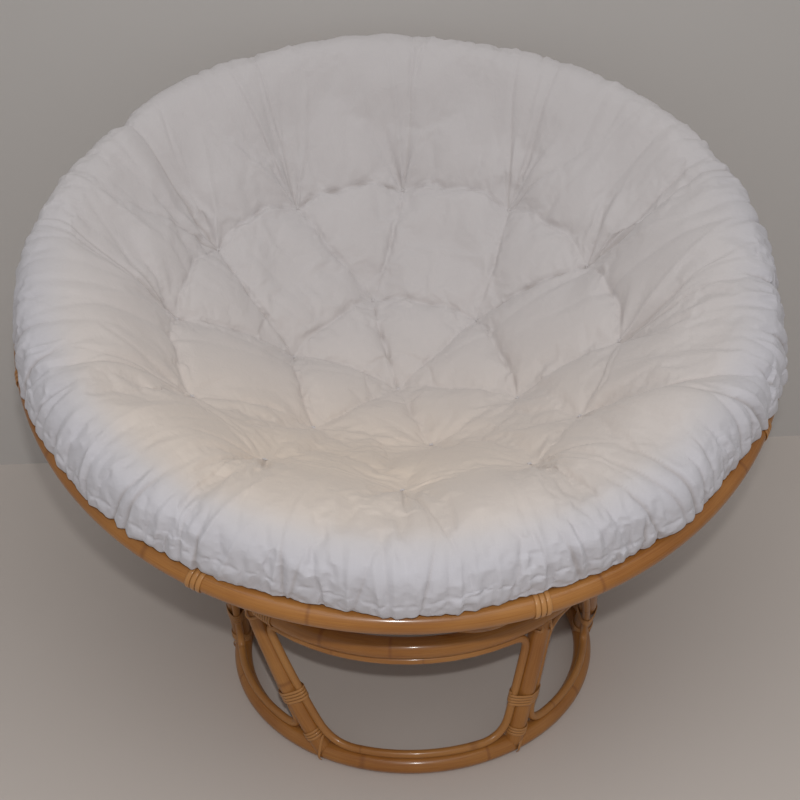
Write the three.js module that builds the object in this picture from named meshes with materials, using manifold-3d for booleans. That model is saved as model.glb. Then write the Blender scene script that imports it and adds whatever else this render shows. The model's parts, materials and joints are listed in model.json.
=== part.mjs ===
// Papasan chair: a round rattan bowl with a tufted cushion, set loose and tilted on a ring base.
// Millimetres, +Z up, the chair faces -Y. Angles named *_DEG are in degrees.
import * as THREE from 'three';
import { mergeVertices } from 'three/addons/utils/BufferGeometryUtils.js';
import Module from 'manifold-3d';

const wasm = await Module();
wasm.setup();

// Fits shared by every piece
const CLEARANCE = 0.3;
const MERGE_SHARE = 0.01;
const BINDING_THICKNESS = 1.6;

// Base: two rings, six leaning uprights and six thin loops that line the openings
const UPPER_RING_RADIUS = 288;
const UPPER_RING_POLE = 30;
const LOWER_RING_RADIUS = 280;
const LOWER_RING_POLE = 28;
const FLOOR_FLAT_DEPTH = 1;
const BASE_HEIGHT = 257;
const UPRIGHT_POLE = 29;
const UPRIGHT_COUNT = 6;
const UPRIGHT_COPE_OVERLAP = 8;
const PAIR_TOP_SPREAD_DEG = 25;
const BASE_TWIST_DEG = 8.7;
const BASE_TURN_DEG = -4.2;
const LOOP_POLE = 12;
const LOOP_TOP_CORNER = 32;
const LOOP_BOTTOM_CORNER = 40;
const LOOP_EDGE_STEPS = [5, 3, 5, 3];
const LOOP_CORNER_STEPS = 3;

// Bowl: a rim, eight ribs bent on two nested spheres, and a ring laid in the bottom
const RIM_RADIUS = 535;
const RIM_POLE = 30;
const RIB_POLE = 16;
const RIB_COUNT = 8;
const RIB_END_SPREAD = 50;
const RIB_STEP_LENGTH = 130;
const RIB_CLOSING_SHARE = 1.25;
const SPHERE_CENTRE_RISE = 153;
const BOTTOM_RING_POLE = 18;
const BOWL_TILT_DEG = 21.3;
const RIM_TURN_DEG = 12;

// Bindings: flat strips of rattan peel
const STRAND_WIDTH = 4.1;
const STRAND_PITCH = 4.8;
const RIM_STRIP_WIDTH = 6.4;
const RIM_STRIP_PITCH = 7.1;
const RIM_WRAP_TURNS = 3;
const MID_LASHING_TURNS = 4;
const MID_LASHING_HEIGHT = 102;
const FOOT_LASHING_TURNS = 3;
const FOOT_LASHING_HEIGHT = 34;
const FOOT_TAIL_ANGLES_DEG = [10, -10, -36];
const SCARF_WRAP_TURNS = 8;
const SCARF_WRAP_OFFSET = 50;
const CROSS_SPACING = 17;
const CROSS_DROP = 5;
const CROSS_LIFT = 0.8;
const CROSS_BRIDGE_SHARE = 1 / 3;

// Cushion: a dished round pad with nineteen sewn tufts and a fat edge roll
const CUSHION_ROLL_RADIUS = 62;
const CUSHION_ROLL_INSET = 59;
const CUSHION_ROLL_RISE = 42;
const TUFT_INNER_RADIUS = 175;
const TUFT_OUTER_RADIUS = 332;
const CENTRE_PAD = 173;
const INNER_PAD = 189;
const OUTER_PAD = 220;
const TUFT_DENT = 34;
const TUFT_REACH = 52;
const CREASE_DENT = 13;
const CREASE_REACH = 20;
const FOLD_DENT = 15;
const FOLD_EDGE_SHARE = 0.3;
const CUSHION_SLUMP = 36.5;
const CUSHION_TURN_DEG = -7.2;
const TUFT_OUTER_COUNT = 12;
const TUFT_INNER_COUNT = 6;
const TUFT_INNER_SHIFT_SHARE = 0.25;
const DISH_RISE_SHARE = 1.25;
const FACE_SHARES = [0.25, 0.5, 0.75, 1];
const ROLL_ANGLES_DEG = [60, 30, 0, -15];
const UNDERSIDE_SHARES = [0, 0.5, 1];

// Facets
const POLE_SIDES = 10;
const RIM_STEPS = 64;
const RING_STEPS = 52;
const BOTTOM_RING_STEPS = 36;
const RIB_STEPS = 20;
const RIB_SIDES = 8;
const UPRIGHT_STEPS = 5;
const PLACE_PASSES = 4;
const UPRIGHT_SIDES = 12;
const LOOP_SIDES = 6;
const WRAP_SIDES = 8;
const CUSHION_SECTORS = 48;

const rad = THREE.MathUtils.degToRad;
const lerp = THREE.MathUtils.lerp;
const HALF_TURN = Math.PI;
const FULL_TURN = 2 * Math.PI;

const polePaint = new THREE.MeshStandardMaterial({ color: 0xb27a3c, roughness: 0.32, metalness: 0 });
const loopPaint = new THREE.MeshStandardMaterial({ color: 0xbb8748, roughness: 0.38, metalness: 0 });
const bindingPaint = new THREE.MeshStandardMaterial({ color: 0xc08c50, roughness: 0.45, metalness: 0 });
const cottonPaint = new THREE.MeshStandardMaterial({ color: 0xe6dfdc, roughness: 0.9, metalness: 0 });

// Heights and centres that follow from the driving sizes
const upperRingHeight = BASE_HEIGHT - UPPER_RING_POLE / 2;
const lowerRingHeight = LOWER_RING_POLE / 2 - FLOOR_FLAT_DEPTH;
const bindingRise = CLEARANCE + BINDING_THICKNESS;
const ribReach = (RIB_POLE / 2) * Math.cos(HALF_TURN / RIB_SIDES);
const rimSphereRadius = Math.hypot(RIM_RADIUS, SPHERE_CENTRE_RISE);
const outerRibRadius = rimSphereRadius + (RIB_POLE + CLEARANCE) / 2;
const innerRibRadius = rimSphereRadius - (RIB_POLE + CLEARANCE) / 2;
const supportSphereRadius = outerRibRadius + ribReach + CLEARANCE;
const ringToCentre = supportSphereRadius + bindingRise + UPPER_RING_POLE / 2;
const bowlCentreHeight = upperRingHeight + Math.sqrt(ringToCentre ** 2 - UPPER_RING_RADIUS ** 2);

function named(name, geometry, material, parent) {
  const mesh = new THREE.Mesh(geometry, material);
  mesh.name = name;
  parent.add(mesh);
}

function outward(azimuth) {
  return new THREE.Vector3(Math.sin(azimuth), -Math.cos(azimuth), 0);
}

function geometryFrom(positions, triangles) {
  const geometry = new THREE.BufferGeometry();
  geometry.setAttribute('position', new THREE.Float32BufferAttribute(positions.flat(), 3));
  geometry.setIndex(triangles.flat());
  geometry.computeVertexNormals();
  return geometry;
}

// Boolean cut of one closed mesh by another
function solidFrom(geometry) {
  const bare = geometry.clone();
  bare.deleteAttribute('normal');
  bare.deleteAttribute('uv');
  const merged = mergeVertices(bare, CLEARANCE * MERGE_SHARE);
  const vertProperties = new Float32Array(merged.attributes.position.array);
  const triVerts = new Uint32Array(merged.index.array);
  return new wasm.Manifold(new wasm.Mesh({ numProp: 3, vertProperties, triVerts }));
}

function cut(geometry, ...cutters) {
  const body = solidFrom(geometry);
  const rest = cutters.reduce((left, cutter) => left.subtract(solidFrom(cutter)), body);
  const mesh = rest.getMesh();
  const result = new THREE.BufferGeometry();
  result.setAttribute('position', new THREE.BufferAttribute(new Float32Array(mesh.vertProperties), 3));
  result.setIndex(new THREE.BufferAttribute(new Uint32Array(mesh.triVerts), 1));
  result.computeVertexNormals();
  return result;
}

// A pole bent to a full ring about Z; flat takes that much off its underside for standing on
function ringPole(radius, poleRadius, steps, sides, flat = 0) {
  const start = flat > 0 ? 0 : HALF_TURN / sides;
  const section = [];
  for (let i = 0; i < sides; i += 1) {
    const angle = start + (FULL_TURN * i) / sides;
    const level = Math.max(poleRadius * Math.sin(angle), flat - poleRadius);
    section.push(new THREE.Vector2(radius + poleRadius * Math.cos(angle), level));
  }
  section.push(section[0].clone());
  const ring = new THREE.LatheGeometry(section, steps);
  ring.rotateX(HALF_TURN / 2);
  return ring;
}

// Sweeps an outline through stations that each hold a point and two axes
function sweep(stations, outline, closed) {
  const positions = [];
  const triangles = [];
  const sides = outline.length;
  for (const { point, side, out } of stations) {
    for (const [across, away] of outline) {
      const corner = point.clone().addScaledVector(side, across).addScaledVector(out, away);
      positions.push(corner.toArray());
    }
  }
  const spans = closed ? stations.length : stations.length - 1;
  for (let i = 0; i < spans; i += 1) {
    const here = i * sides;
    const next = ((i + 1) % stations.length) * sides;
    for (let j = 0; j < sides; j += 1) {
      const k = (j + 1) % sides;
      triangles.push([here + j, here + k, next + k], [here + j, next + k, next + j]);
    }
  }
  if (!closed) {
    const last = (stations.length - 1) * sides;
    for (let j = 1; j < sides - 1; j += 1) {
      triangles.push([0, j + 1, j], [last, last + j, last + j + 1]);
    }
  }
  return geometryFrom(positions, triangles);
}

// Gives a row of points its axes: out follows the wanted normal, side lies across the run
function stationsAlong(points, normals, closed) {
  const count = points.length;
  return points.map((point, i) => {
    const before = points[closed ? (i + count - 1) % count : Math.max(i - 1, 0)];
    const after = points[closed ? (i + 1) % count : Math.min(i + 1, count - 1)];
    const run = after.clone().sub(before).normalize();
    const out = normals[i].clone().addScaledVector(run, -normals[i].dot(run)).normalize();
    const side = new THREE.Vector3().crossVectors(out, run);
    return { point, side, out };
  });
}

function roundOutline(radius, sides, turn) {
  return Array.from({ length: sides }, (_, i) => {
    const angle = turn + (FULL_TURN * i) / sides;
    return [radius * Math.cos(angle), radius * Math.sin(angle)];
  });
}

function stripOutline(width) {
  const w = width / 2;
  const t = BINDING_THICKNESS / 2;
  return [[w, -t], [w, t], [-w, t], [-w, -t]];
}

// Least gap of a strip to itself, between corners of stations over half a turn apart
let leastStripGap = Infinity;
function measureStrip(geometry, corners, stepsApart) {
  const at = geometry.attributes.position;
  const a = new THREE.Vector3();
  const b = new THREE.Vector3();
  for (let i = 0; i < at.count; i += 1) {
    for (let j = 0; j < i; j += 1) {
      if (Math.floor(i / corners) - Math.floor(j / corners) >= stepsApart) {
        const gap = a.fromBufferAttribute(at, i).distanceTo(b.fromBufferAttribute(at, j));
        leastStripGap = Math.min(leastStripGap, gap);
      }
    }
  }
}

function strip(points, normals, width) {
  const outline = stripOutline(width);
  const geometry = sweep(stationsAlong(points, normals, false), outline, false);
  measureStrip(geometry, outline.length, WRAP_SIDES / 2);
  return geometry;
}

// One turn's outline round poles, each given by its place across the axis and its radius:
// tangent lines at chosen angles meet in the outline's corners
function wrapOutline(poles, angles) {
  const lift = CLEARANCE + BINDING_THICKNESS / 2;
  const reach = (angle) => Math.max(
    ...poles.map(({ u, v, radius }) => u * Math.cos(angle) + v * Math.sin(angle) + radius + lift));
  return angles.map((angle, i) => {
    const last = i === angles.length - 1;
    const next = last ? angles[0] + FULL_TURN : angles[i + 1];
    const a = reach(angle);
    const b = reach(next);
    const sine = Math.sin(next - angle);
    const u = (a * Math.sin(next) - b * Math.sin(angle)) / sine;
    const v = (b * Math.cos(angle) - a * Math.cos(next)) / sine;
    return { u, v, facing: (angle + next) / 2 };
  });
}

function evenAngles(count, start) {
  return Array.from({ length: count }, (_, i) => start + (FULL_TURN * i) / count);
}

function onePole(diameter) {
  return [{ u: 0, v: 0, radius: diameter / 2 }];
}

// Winds a strip round poles; frameAt gives the place and the u and v directions along them
function windingPath(frameAt, poles, angles, turns, pitch) {
  const outline = wrapOutline(poles, angles);
  const points = [];
  const normals = [];
  for (let i = 0; i <= turns * outline.length; i += 1) {
    const { u, v, facing } = outline[i % outline.length];
    const frame = frameAt((i / outline.length - turns / 2) * pitch);
    points.push(frame.origin.clone().addScaledVector(frame.u, u).addScaledVector(frame.v, v));
    const normal = frame.u.clone().multiplyScalar(Math.cos(facing));
    normals.push(normal.addScaledVector(frame.v, Math.sin(facing)));
  }
  return { points, normals };
}

// Frames along a level ring: u faces away from its middle and v faces up. The ring's facets
// cut inside its true circle, so the frames lie halfway between that circle and the facets.
function ringFrames(radius, height, azimuth, steps) {
  const middle = radius * (1 + Math.cos(HALF_TURN / steps)) / 2;
  return (along) => {
    const u = outward(azimuth + along / radius);
    const v = new THREE.Vector3(0, 0, 1);
    return { origin: u.clone().multiplyScalar(middle).setZ(height), u, v };
  };
}

const chair = new THREE.Group();
const base = new THREE.Group();
base.rotation.z = rad(BASE_TURN_DEG);
chair.add(base);

// The base stands on the flat underside of its lower ring
const lowerRing = ringPole(
  LOWER_RING_RADIUS, LOWER_RING_POLE / 2, RING_STEPS, POLE_SIDES, FLOOR_FLAT_DEPTH);
lowerRing.translate(0, 0, lowerRingHeight);
named('base_lower_ring', lowerRing, polePaint, base);

const upperRing = ringPole(UPPER_RING_RADIUS, UPPER_RING_POLE / 2, RING_STEPS, POLE_SIDES);
upperRing.translate(0, 0, upperRingHeight);
named('base_upper_ring', upperRing, polePaint, base);

// Places on the side of the base: azimuth from the front, height above the floor
function sideRadius(height) {
  const share = (height - lowerRingHeight) / (upperRingHeight - lowerRingHeight);
  return lerp(LOWER_RING_RADIUS, UPPER_RING_RADIUS, share);
}

function sidePoint(azimuth, height) {
  const radius = sideRadius(height);
  return new THREE.Vector3(radius * Math.sin(azimuth), -radius * Math.cos(azimuth), height);
}

// Upright feet stand evenly round the ring; their heads close up in pairs and twist one way
function uprightAzimuth(index, height) {
  const sector = FULL_TURN / UPRIGHT_COUNT;
  const foot = sector * (index + 1 / 2);
  const pair = index % 2 === 0 ? 1 : -1;
  const head = foot + pair * (sector / 2 - rad(PAIR_TOP_SPREAD_DEG) / 2) - rad(BASE_TWIST_DEG);
  return lerp(foot, head, (height - lowerRingHeight) / (upperRingHeight - lowerRingHeight));
}

class UprightLine extends THREE.Curve {
  constructor(index, from, to) {
    super();
    this.index = index;
    this.from = from;
    this.to = to;
  }

  getPoint(share, target = new THREE.Vector3()) {
    const height = lerp(this.from, this.to, share);
    return target.copy(sidePoint(uprightAzimuth(this.index, height), height));
  }
}

// Frames along an upright: v faces away from the base and u lies across to the right
function uprightFrames(index, height) {
  const line = new UprightLine(index, lowerRingHeight, upperRingHeight);
  const share = (height - lowerRingHeight) / (upperRingHeight - lowerRingHeight);
  const axis = line.getTangent(share);
  const v = outward(uprightAzimuth(index, height));
  v.addScaledVector(axis, -v.dot(axis)).normalize();
  const u = new THREE.Vector3().crossVectors(v, axis);
  return (along) => ({ origin: line.getPoint(share).addScaledVector(axis, along), axis, u, v });
}

// How far an upright leans sideways, along the ring
function uprightLean(index, height) {
  const azimuth = uprightAzimuth(index, height);
  const sideways = new THREE.Vector3(Math.cos(azimuth), Math.sin(azimuth), 0);
  return Math.asin(uprightFrames(index, height)(0).axis.dot(sideways));
}

const ringCutters = [
  ringPole(
    LOWER_RING_RADIUS, LOWER_RING_POLE / 2 + CLEARANCE, RING_STEPS, POLE_SIDES, FLOOR_FLAT_DEPTH),
  ringPole(UPPER_RING_RADIUS, UPPER_RING_POLE / 2 + CLEARANCE, RING_STEPS, POLE_SIDES),
];
ringCutters[0].translate(0, 0, lowerRingHeight);
ringCutters[1].translate(0, 0, upperRingHeight);

for (let index = 0; index < UPRIGHT_COUNT; index += 1) {
  const from = lowerRingHeight + UPRIGHT_COPE_OVERLAP;
  const to = upperRingHeight - UPRIGHT_COPE_OVERLAP;
  const section = new THREE.Shape(
    roundOutline(UPRIGHT_POLE / 2, UPRIGHT_SIDES, 0).map(([x, y]) => new THREE.Vector2(x, y)));
  const pole = new THREE.ExtrudeGeometry(section, {
    steps: UPRIGHT_STEPS,
    extrudePath: new UprightLine(index, from, to),
  });
  named(`base_upright_${index + 1}`, cut(pole, ...ringCutters), polePaint, base);
}

// A thin loop lines each opening: under the upper ring, beside both uprights, on the lower ring
const besideUpright = UPRIGHT_POLE / 2 + LOOP_POLE / 2 + CLEARANCE;
const loopTop = upperRingHeight - UPPER_RING_POLE / 2 - bindingRise - CLEARANCE - LOOP_POLE / 2;
const lowerRingTop = lowerRingHeight + (LOWER_RING_POLE / 2) * Math.cos(HALF_TURN / POLE_SIDES);
const loopBottom = lowerRingTop + CLEARANCE + LOOP_POLE / 2;

function loopEdgeAzimuth(index, height, side) {
  const offset = besideUpright / Math.cos(uprightLean(index, height)) / sideRadius(height);
  return uprightAzimuth(index, height) + side * offset;
}

function loopCorners(index) {
  const next = (index + 1) % UPRIGHT_COUNT;
  const turn = next === 0 ? FULL_TURN : 0;
  const left = (height) => loopEdgeAzimuth(index, height, 1);
  const right = (height) => loopEdgeAzimuth(next, height, -1) + turn;
  return [
    { azimuth: left(loopBottom), height: loopBottom, reach: LOOP_BOTTOM_CORNER },
    { azimuth: right(loopBottom), height: loopBottom, reach: LOOP_BOTTOM_CORNER },
    { azimuth: right(loopTop), height: loopTop, reach: LOOP_TOP_CORNER },
    { azimuth: left(loopTop), height: loopTop, reach: LOOP_TOP_CORNER },
  ];
}

// Rounds the four corners and spreads stations along the edges between them
function loopPlaces(corners) {
  const meanRadius = (LOWER_RING_RADIUS + UPPER_RING_RADIUS) / 2;
  const flat = corners.map(({ azimuth, height, reach }) => ({
    place: new THREE.Vector2(azimuth * meanRadius, height),
    reach,
  }));
  const places = [];
  flat.forEach(({ place, reach }, i) => {
    const before = flat[(i + flat.length - 1) % flat.length];
    const after = flat[(i + 1) % flat.length];
    const start = place.clone().lerp(before.place, reach / place.distanceTo(before.place));
    const end = place.clone().lerp(after.place, reach / place.distanceTo(after.place));
    const bend = new THREE.QuadraticBezierCurve(start, place, end);
    places.push(...bend.getPoints(LOOP_CORNER_STEPS));
    const nextStart = after.place.clone();
    nextStart.lerp(place, after.reach / after.place.distanceTo(place));
    for (let k = 1; k < LOOP_EDGE_STEPS[i]; k += 1) {
      places.push(end.clone().lerp(nextStart, k / LOOP_EDGE_STEPS[i]));
    }
  });
  return places.map((place) => ({ azimuth: place.x / meanRadius, height: place.y }));
}

for (let index = 0; index < UPRIGHT_COUNT; index += 1) {
  const places = loopPlaces(loopCorners(index));
  const points = places.map(({ azimuth, height }) => sidePoint(azimuth, height));
  const normals = places.map(({ azimuth }) => outward(azimuth));
  const outline = roundOutline(LOOP_POLE / 2, LOOP_SIDES, 0);
  const loop = sweep(stationsAlong(points, normals, true), outline, true);
  named(`opening_loop_${index + 1}`, loop, loopPaint, base);
}

// Where the loop beside an upright crosses the level of its mid lashing
function poleBeside(index, side) {
  const { origin, axis, u, v } = uprightFrames(index, MID_LASHING_HEIGHT)(0);
  const offset = new THREE.Vector3();
  let height = MID_LASHING_HEIGHT;
  for (let pass = 0; pass < PLACE_PASSES; pass += 1) {
    const share = (height - loopBottom) / (loopTop - loopBottom);
    const azimuth = lerp(
      loopEdgeAzimuth(index, loopBottom, side), loopEdgeAzimuth(index, loopTop, side), share);
    offset.copy(sidePoint(azimuth, height)).sub(origin);
    height -= offset.dot(axis);
  }
  return { u: offset.dot(u), v: offset.dot(v), radius: LOOP_POLE / 2 + CLEARANCE };
}

// Mid lashings hold an upright and the loops on both sides of it
const loopLean = Math.asin((UPRIGHT_POLE / 2 - LOOP_POLE / 2) / besideUpright);
const quarterWraps = [0, (HALF_TURN / 2 - loopLean) / 2, HALF_TURN / 2 - loopLean];
const midAngles = [
  ...quarterWraps,
  ...quarterWraps.map((angle) => HALF_TURN - angle).reverse(),
  ...quarterWraps.slice(1).map((angle) => HALF_TURN + angle),
  ...quarterWraps.slice(1).map((angle) => FULL_TURN - angle).reverse(),
];
for (let index = 0; index < UPRIGHT_COUNT; index += 1) {
  const poles = [poleBeside(index, -1), ...onePole(UPRIGHT_POLE), poleBeside(index, 1)];
  const { points, normals } = windingPath(
    uprightFrames(index, MID_LASHING_HEIGHT), poles, midAngles, MID_LASHING_TURNS, STRAND_PITCH);
  named(`mid_lashing_${index + 1}`, strip(points, normals, STRAND_WIDTH), bindingPaint, base);
}

// Foot lashings start on the face of the lower ring and wind up round the upright
for (let index = 0; index < UPRIGHT_COUNT; index += 1) {
  const { points, normals } = windingPath(
    uprightFrames(index, FOOT_LASHING_HEIGHT + FOOT_LASHING_TURNS * STRAND_PITCH / 2),
    onePole(UPRIGHT_POLE), evenAngles(WRAP_SIDES, HALF_TURN / 2), FOOT_LASHING_TURNS, STRAND_PITCH);
  const azimuth = uprightAzimuth(index, lowerRingHeight);
  const ringCentre = sidePoint(azimuth, lowerRingHeight);
  const lift = (LOWER_RING_POLE / 2 + bindingRise) / Math.cos(HALF_TURN / WRAP_SIDES);
  for (const angle of FOOT_TAIL_ANGLES_DEG.map(rad)) {
    const normal = outward(azimuth).multiplyScalar(Math.cos(angle)).setZ(Math.sin(angle));
    points.unshift(ringCentre.clone().addScaledVector(normal, lift));
    normals.unshift(normal);
  }
  named(`foot_lashing_${index + 1}`, strip(points, normals, STRAND_WIDTH), bindingPaint, base);
}

// Cross lashings tie each upright's head to the upper ring with one X at the front
const ringTouch = HALF_TURN / 2 + Math.asin(UPPER_RING_RADIUS / ringToCentre);
const crossLift = (pole) => (pole / 2 + CLEARANCE + BINDING_THICKNESS / 2)
  / Math.cos(HALF_TURN / WRAP_SIDES);
for (let index = 0; index < UPRIGHT_COUNT; index += 1) {
  const leanDrop = UPRIGHT_POLE / 2 * Math.abs(Math.sin(uprightLean(index, upperRingHeight)));
  const neckDrop = UPPER_RING_POLE / 2 + CROSS_DROP + leanDrop;
  const neck = uprightFrames(index, upperRingHeight - neckDrop)(0);
  const ringFrame = ringFrames(
    UPPER_RING_RADIUS, upperRingHeight, uprightAzimuth(index, upperRingHeight), RING_STEPS);
  const points = [];
  const normals = [];
  const overRing = (side, step) => {
    const angle = ringTouch + HALF_TURN / WRAP_SIDES * (1 - 2 * step);
    const frame = ringFrame(side * CROSS_SPACING / 2);
    const normal = frame.u.multiplyScalar(Math.cos(angle)).addScaledVector(frame.v, Math.sin(angle));
    points.push(frame.origin.addScaledVector(normal, crossLift(UPPER_RING_POLE)));
    normals.push(normal);
  };
  const roundNeck = (step) => {
    const angle = HALF_TURN / WRAP_SIDES * (1 - 2 * step);
    const normal = neck.u.clone().multiplyScalar(Math.cos(angle));
    normal.addScaledVector(neck.v, Math.sin(angle));
    points.push(neck.origin.clone().addScaledVector(normal, crossLift(UPRIGHT_POLE)));
    normals.push(normal);
  };
  for (let step = -1; step <= 3; step += 1) overRing(-1, step);
  for (let step = -1; step <= 6; step += 1) roundNeck(step);
  const bridge = neck.origin.clone().addScaledVector(neck.axis, neckDrop * CROSS_BRIDGE_SHARE);
  bridge.addScaledVector(neck.v, crossLift(UPRIGHT_POLE) + bindingRise + CROSS_LIFT);
  points.push(bridge.addScaledVector(neck.u, -STRAND_WIDTH / 2));
  normals.push(neck.v.clone());
  for (let step = 3; step >= -1; step -= 1) overRing(1, step);
  named(`cross_lashing_${index + 1}`, strip(points, normals, STRAND_WIDTH), bindingPaint, base);
}

// The upper ring's scarf joint is bound beside the first pair of uprights
const scarfUpright = UPRIGHT_COUNT - 1;
const scarfAzimuth = uprightAzimuth(scarfUpright, upperRingHeight)
  + SCARF_WRAP_OFFSET / UPPER_RING_RADIUS;
const scarf = windingPath(
  ringFrames(UPPER_RING_RADIUS, upperRingHeight, scarfAzimuth, RING_STEPS),
  onePole(UPPER_RING_POLE), evenAngles(WRAP_SIDES, ringTouch), SCARF_WRAP_TURNS, STRAND_PITCH);
named('ring_joint_binding', strip(scarf.points, scarf.normals, STRAND_WIDTH), bindingPaint, base);

// The bowl group turns about the centre of its sphere, so it slides on the upper ring
const bowl = new THREE.Group();
bowl.position.z = bowlCentreHeight;
bowl.rotation.x = rad(BOWL_TILT_DEG);
chair.add(bowl);

const rim = ringPole(RIM_RADIUS, RIM_POLE / 2, RIM_STEPS, POLE_SIDES);
rim.translate(0, 0, -SPHERE_CENTRE_RISE);
named('bowl_rim', rim, polePaint, bowl);

// Each rib lies in a plane beside the bowl's axis; one half runs under its neighbours, one over
const ribEndAngle = HALF_TURN * (RIB_COUNT / 2 - 1) / RIB_COUNT - RIB_END_SPREAD / 2 / RIM_RADIUS;
const ribOffset = RIM_RADIUS * Math.cos(ribEndAngle);
const ribHalfSpan = RIM_RADIUS * Math.sin(ribEndAngle);

function smooth(from, to, value) {
  return THREE.MathUtils.smoothstep(value, from, to);
}

function ribRadius(along) {
  const half = RIB_STEP_LENGTH / 2;
  const step = lerp(innerRibRadius, outerRibRadius, smooth(-half, half, along));
  const closing = smooth(ribOffset * RIB_CLOSING_SHARE, ribHalfSpan, Math.abs(along));
  return lerp(step, rimSphereRadius, closing);
}

const rimCutter = ringPole(RIM_RADIUS, RIM_POLE / 2 + CLEARANCE, RIM_STEPS, POLE_SIDES);
rimCutter.translate(0, 0, -SPHERE_CENTRE_RISE);
const rimTurn = rad(RIM_TURN_DEG);
for (let index = 0; index < RIB_COUNT; index += 1) {
  const facing = rimTurn + FULL_TURN * (index - RIB_COUNT / 2 + 1 / 2) / RIB_COUNT;
  const across = outward(facing);
  const onward = new THREE.Vector3(Math.cos(facing), Math.sin(facing), 0);
  const points = [];
  for (let i = 0; i <= RIB_STEPS; i += 1) {
    const sweepAngle = Math.asin(ribHalfSpan / rimSphereRadius) * (2 * i / RIB_STEPS - 1);
    const along = rimSphereRadius * Math.sin(sweepAngle);
    const point = across.clone().multiplyScalar(ribOffset).addScaledVector(onward, along);
    point.z = -Math.sqrt(ribRadius(along) ** 2 - point.lengthSq());
    points.push(point);
  }
  const normals = points.map((point) => point.clone().normalize());
  const outline = roundOutline(RIB_POLE / 2, RIB_SIDES, HALF_TURN / RIB_SIDES);
  const rib = sweep(stationsAlong(points, normals, false), outline, false);
  named(`bowl_rib_${index + 1}`, cut(rib, rimCutter), polePaint, bowl);
}

// The bottom ring lies on the ribs where neighbours cross
const bottomRingRadius = ribOffset / Math.cos(FULL_TURN / RIB_COUNT / 2);
const bottomRingSphere = innerRibRadius - RIB_POLE / 2 - CLEARANCE - BOTTOM_RING_POLE / 2;
const bottomRingDrop = Math.sqrt(bottomRingSphere ** 2 - bottomRingRadius ** 2);
const bottomRing = ringPole(
  bottomRingRadius, BOTTOM_RING_POLE / 2, BOTTOM_RING_STEPS, RIB_SIDES);
bottomRing.translate(0, 0, -bottomRingDrop);
named('bowl_bottom_ring', bottomRing, polePaint, bowl);

// Wraps on the rim sit between the two rib ends that meet there
for (let index = 0; index < RIB_COUNT; index += 1) {
  const { points, normals } = windingPath(
    ringFrames(RIM_RADIUS, -SPHERE_CENTRE_RISE, rimTurn + (FULL_TURN * index) / RIB_COUNT, RIM_STEPS),
    onePole(RIM_POLE), evenAngles(WRAP_SIDES, 0), RIM_WRAP_TURNS, RIM_STRIP_PITCH);
  named(`rim_binding_${index + 1}`, strip(points, normals, RIM_STRIP_WIDTH), bindingPaint, bowl);
}

// Cushion. Heights are above the plane of the rim, azimuths start at the front of the bowl.
const cushionTurn = rad(CUSHION_TURN_DEG);
const rollCentreRadius = RIM_RADIUS - CUSHION_ROLL_INSET;
const ribInsideRadius = innerRibRadius - RIB_POLE / 2 - CLEARANCE;
const rimClear = (RIM_POLE / 2 + bindingRise + CLEARANCE) / Math.cos(HALF_TURN / WRAP_SIDES);
const underHeight = SPHERE_CENTRE_RISE - bottomRingDrop + BOTTOM_RING_POLE / 2 + CLEARANCE;

function plan(radius, azimuth) {
  return new THREE.Vector2(radius * Math.sin(azimuth), -radius * Math.cos(azimuth));
}

const outerTufts = Array.from({ length: TUFT_OUTER_COUNT }, (_, i) =>
  plan(TUFT_OUTER_RADIUS, cushionTurn + (FULL_TURN * i) / TUFT_OUTER_COUNT));
const innerTufts = Array.from({ length: TUFT_INNER_COUNT }, (_, i) =>
  plan(TUFT_INNER_RADIUS, cushionTurn + (FULL_TURN * (i + TUFT_INNER_SHIFT_SHARE)) / TUFT_INNER_COUNT));
const tufts = [new THREE.Vector2(), ...innerTufts, ...outerTufts];

// Sewn creases run from tuft to tuft round both rings and out from each inner tuft
const creases = [];
outerTufts.forEach((tuft, i) => creases.push([tuft, outerTufts[(i + 1) % TUFT_OUTER_COUNT]]));
innerTufts.forEach((tuft, i) => {
  creases.push([tuft, innerTufts[(i + 1) % TUFT_INNER_COUNT]]);
  creases.push([tuft, tufts[0]]);
  creases.push([tuft, outerTufts[2 * i]]);
  creases.push([tuft, outerTufts[(2 * i + 1) % TUFT_OUTER_COUNT]]);
});

function distanceToCrease(place, [from, to]) {
  const run = to.clone().sub(from);
  const share = THREE.MathUtils.clamp(place.clone().sub(from).dot(run) / run.lengthSq(), 0, 1);
  return place.distanceTo(from.clone().addScaledVector(run, share));
}

function bump(distance, reach) {
  return Math.exp(-((distance / reach) ** 2));
}

// Depth of the sewn tufts below the rim, from how thick the pad stays over the ribs there
function padDepth(radius, thickness) {
  return Math.sqrt(ribInsideRadius ** 2 - radius ** 2) - SPHERE_CENTRE_RISE - thickness;
}

const centreDepth = padDepth(0, CENTRE_PAD);
const innerDepth = padDepth(TUFT_INNER_RADIUS, INNER_PAD);
const outerDepth = padDepth(TUFT_OUTER_RADIUS, OUTER_PAD);

function tuftDepth(radius) {
  if (radius < TUFT_INNER_RADIUS) {
    return lerp(centreDepth, innerDepth, (radius / TUFT_INNER_RADIUS) ** 2);
  }
  const share = (radius - TUFT_INNER_RADIUS) / (TUFT_OUTER_RADIUS - TUFT_INNER_RADIUS);
  return lerp(innerDepth, outerDepth, share ** DISH_RISE_SHARE);
}

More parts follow.
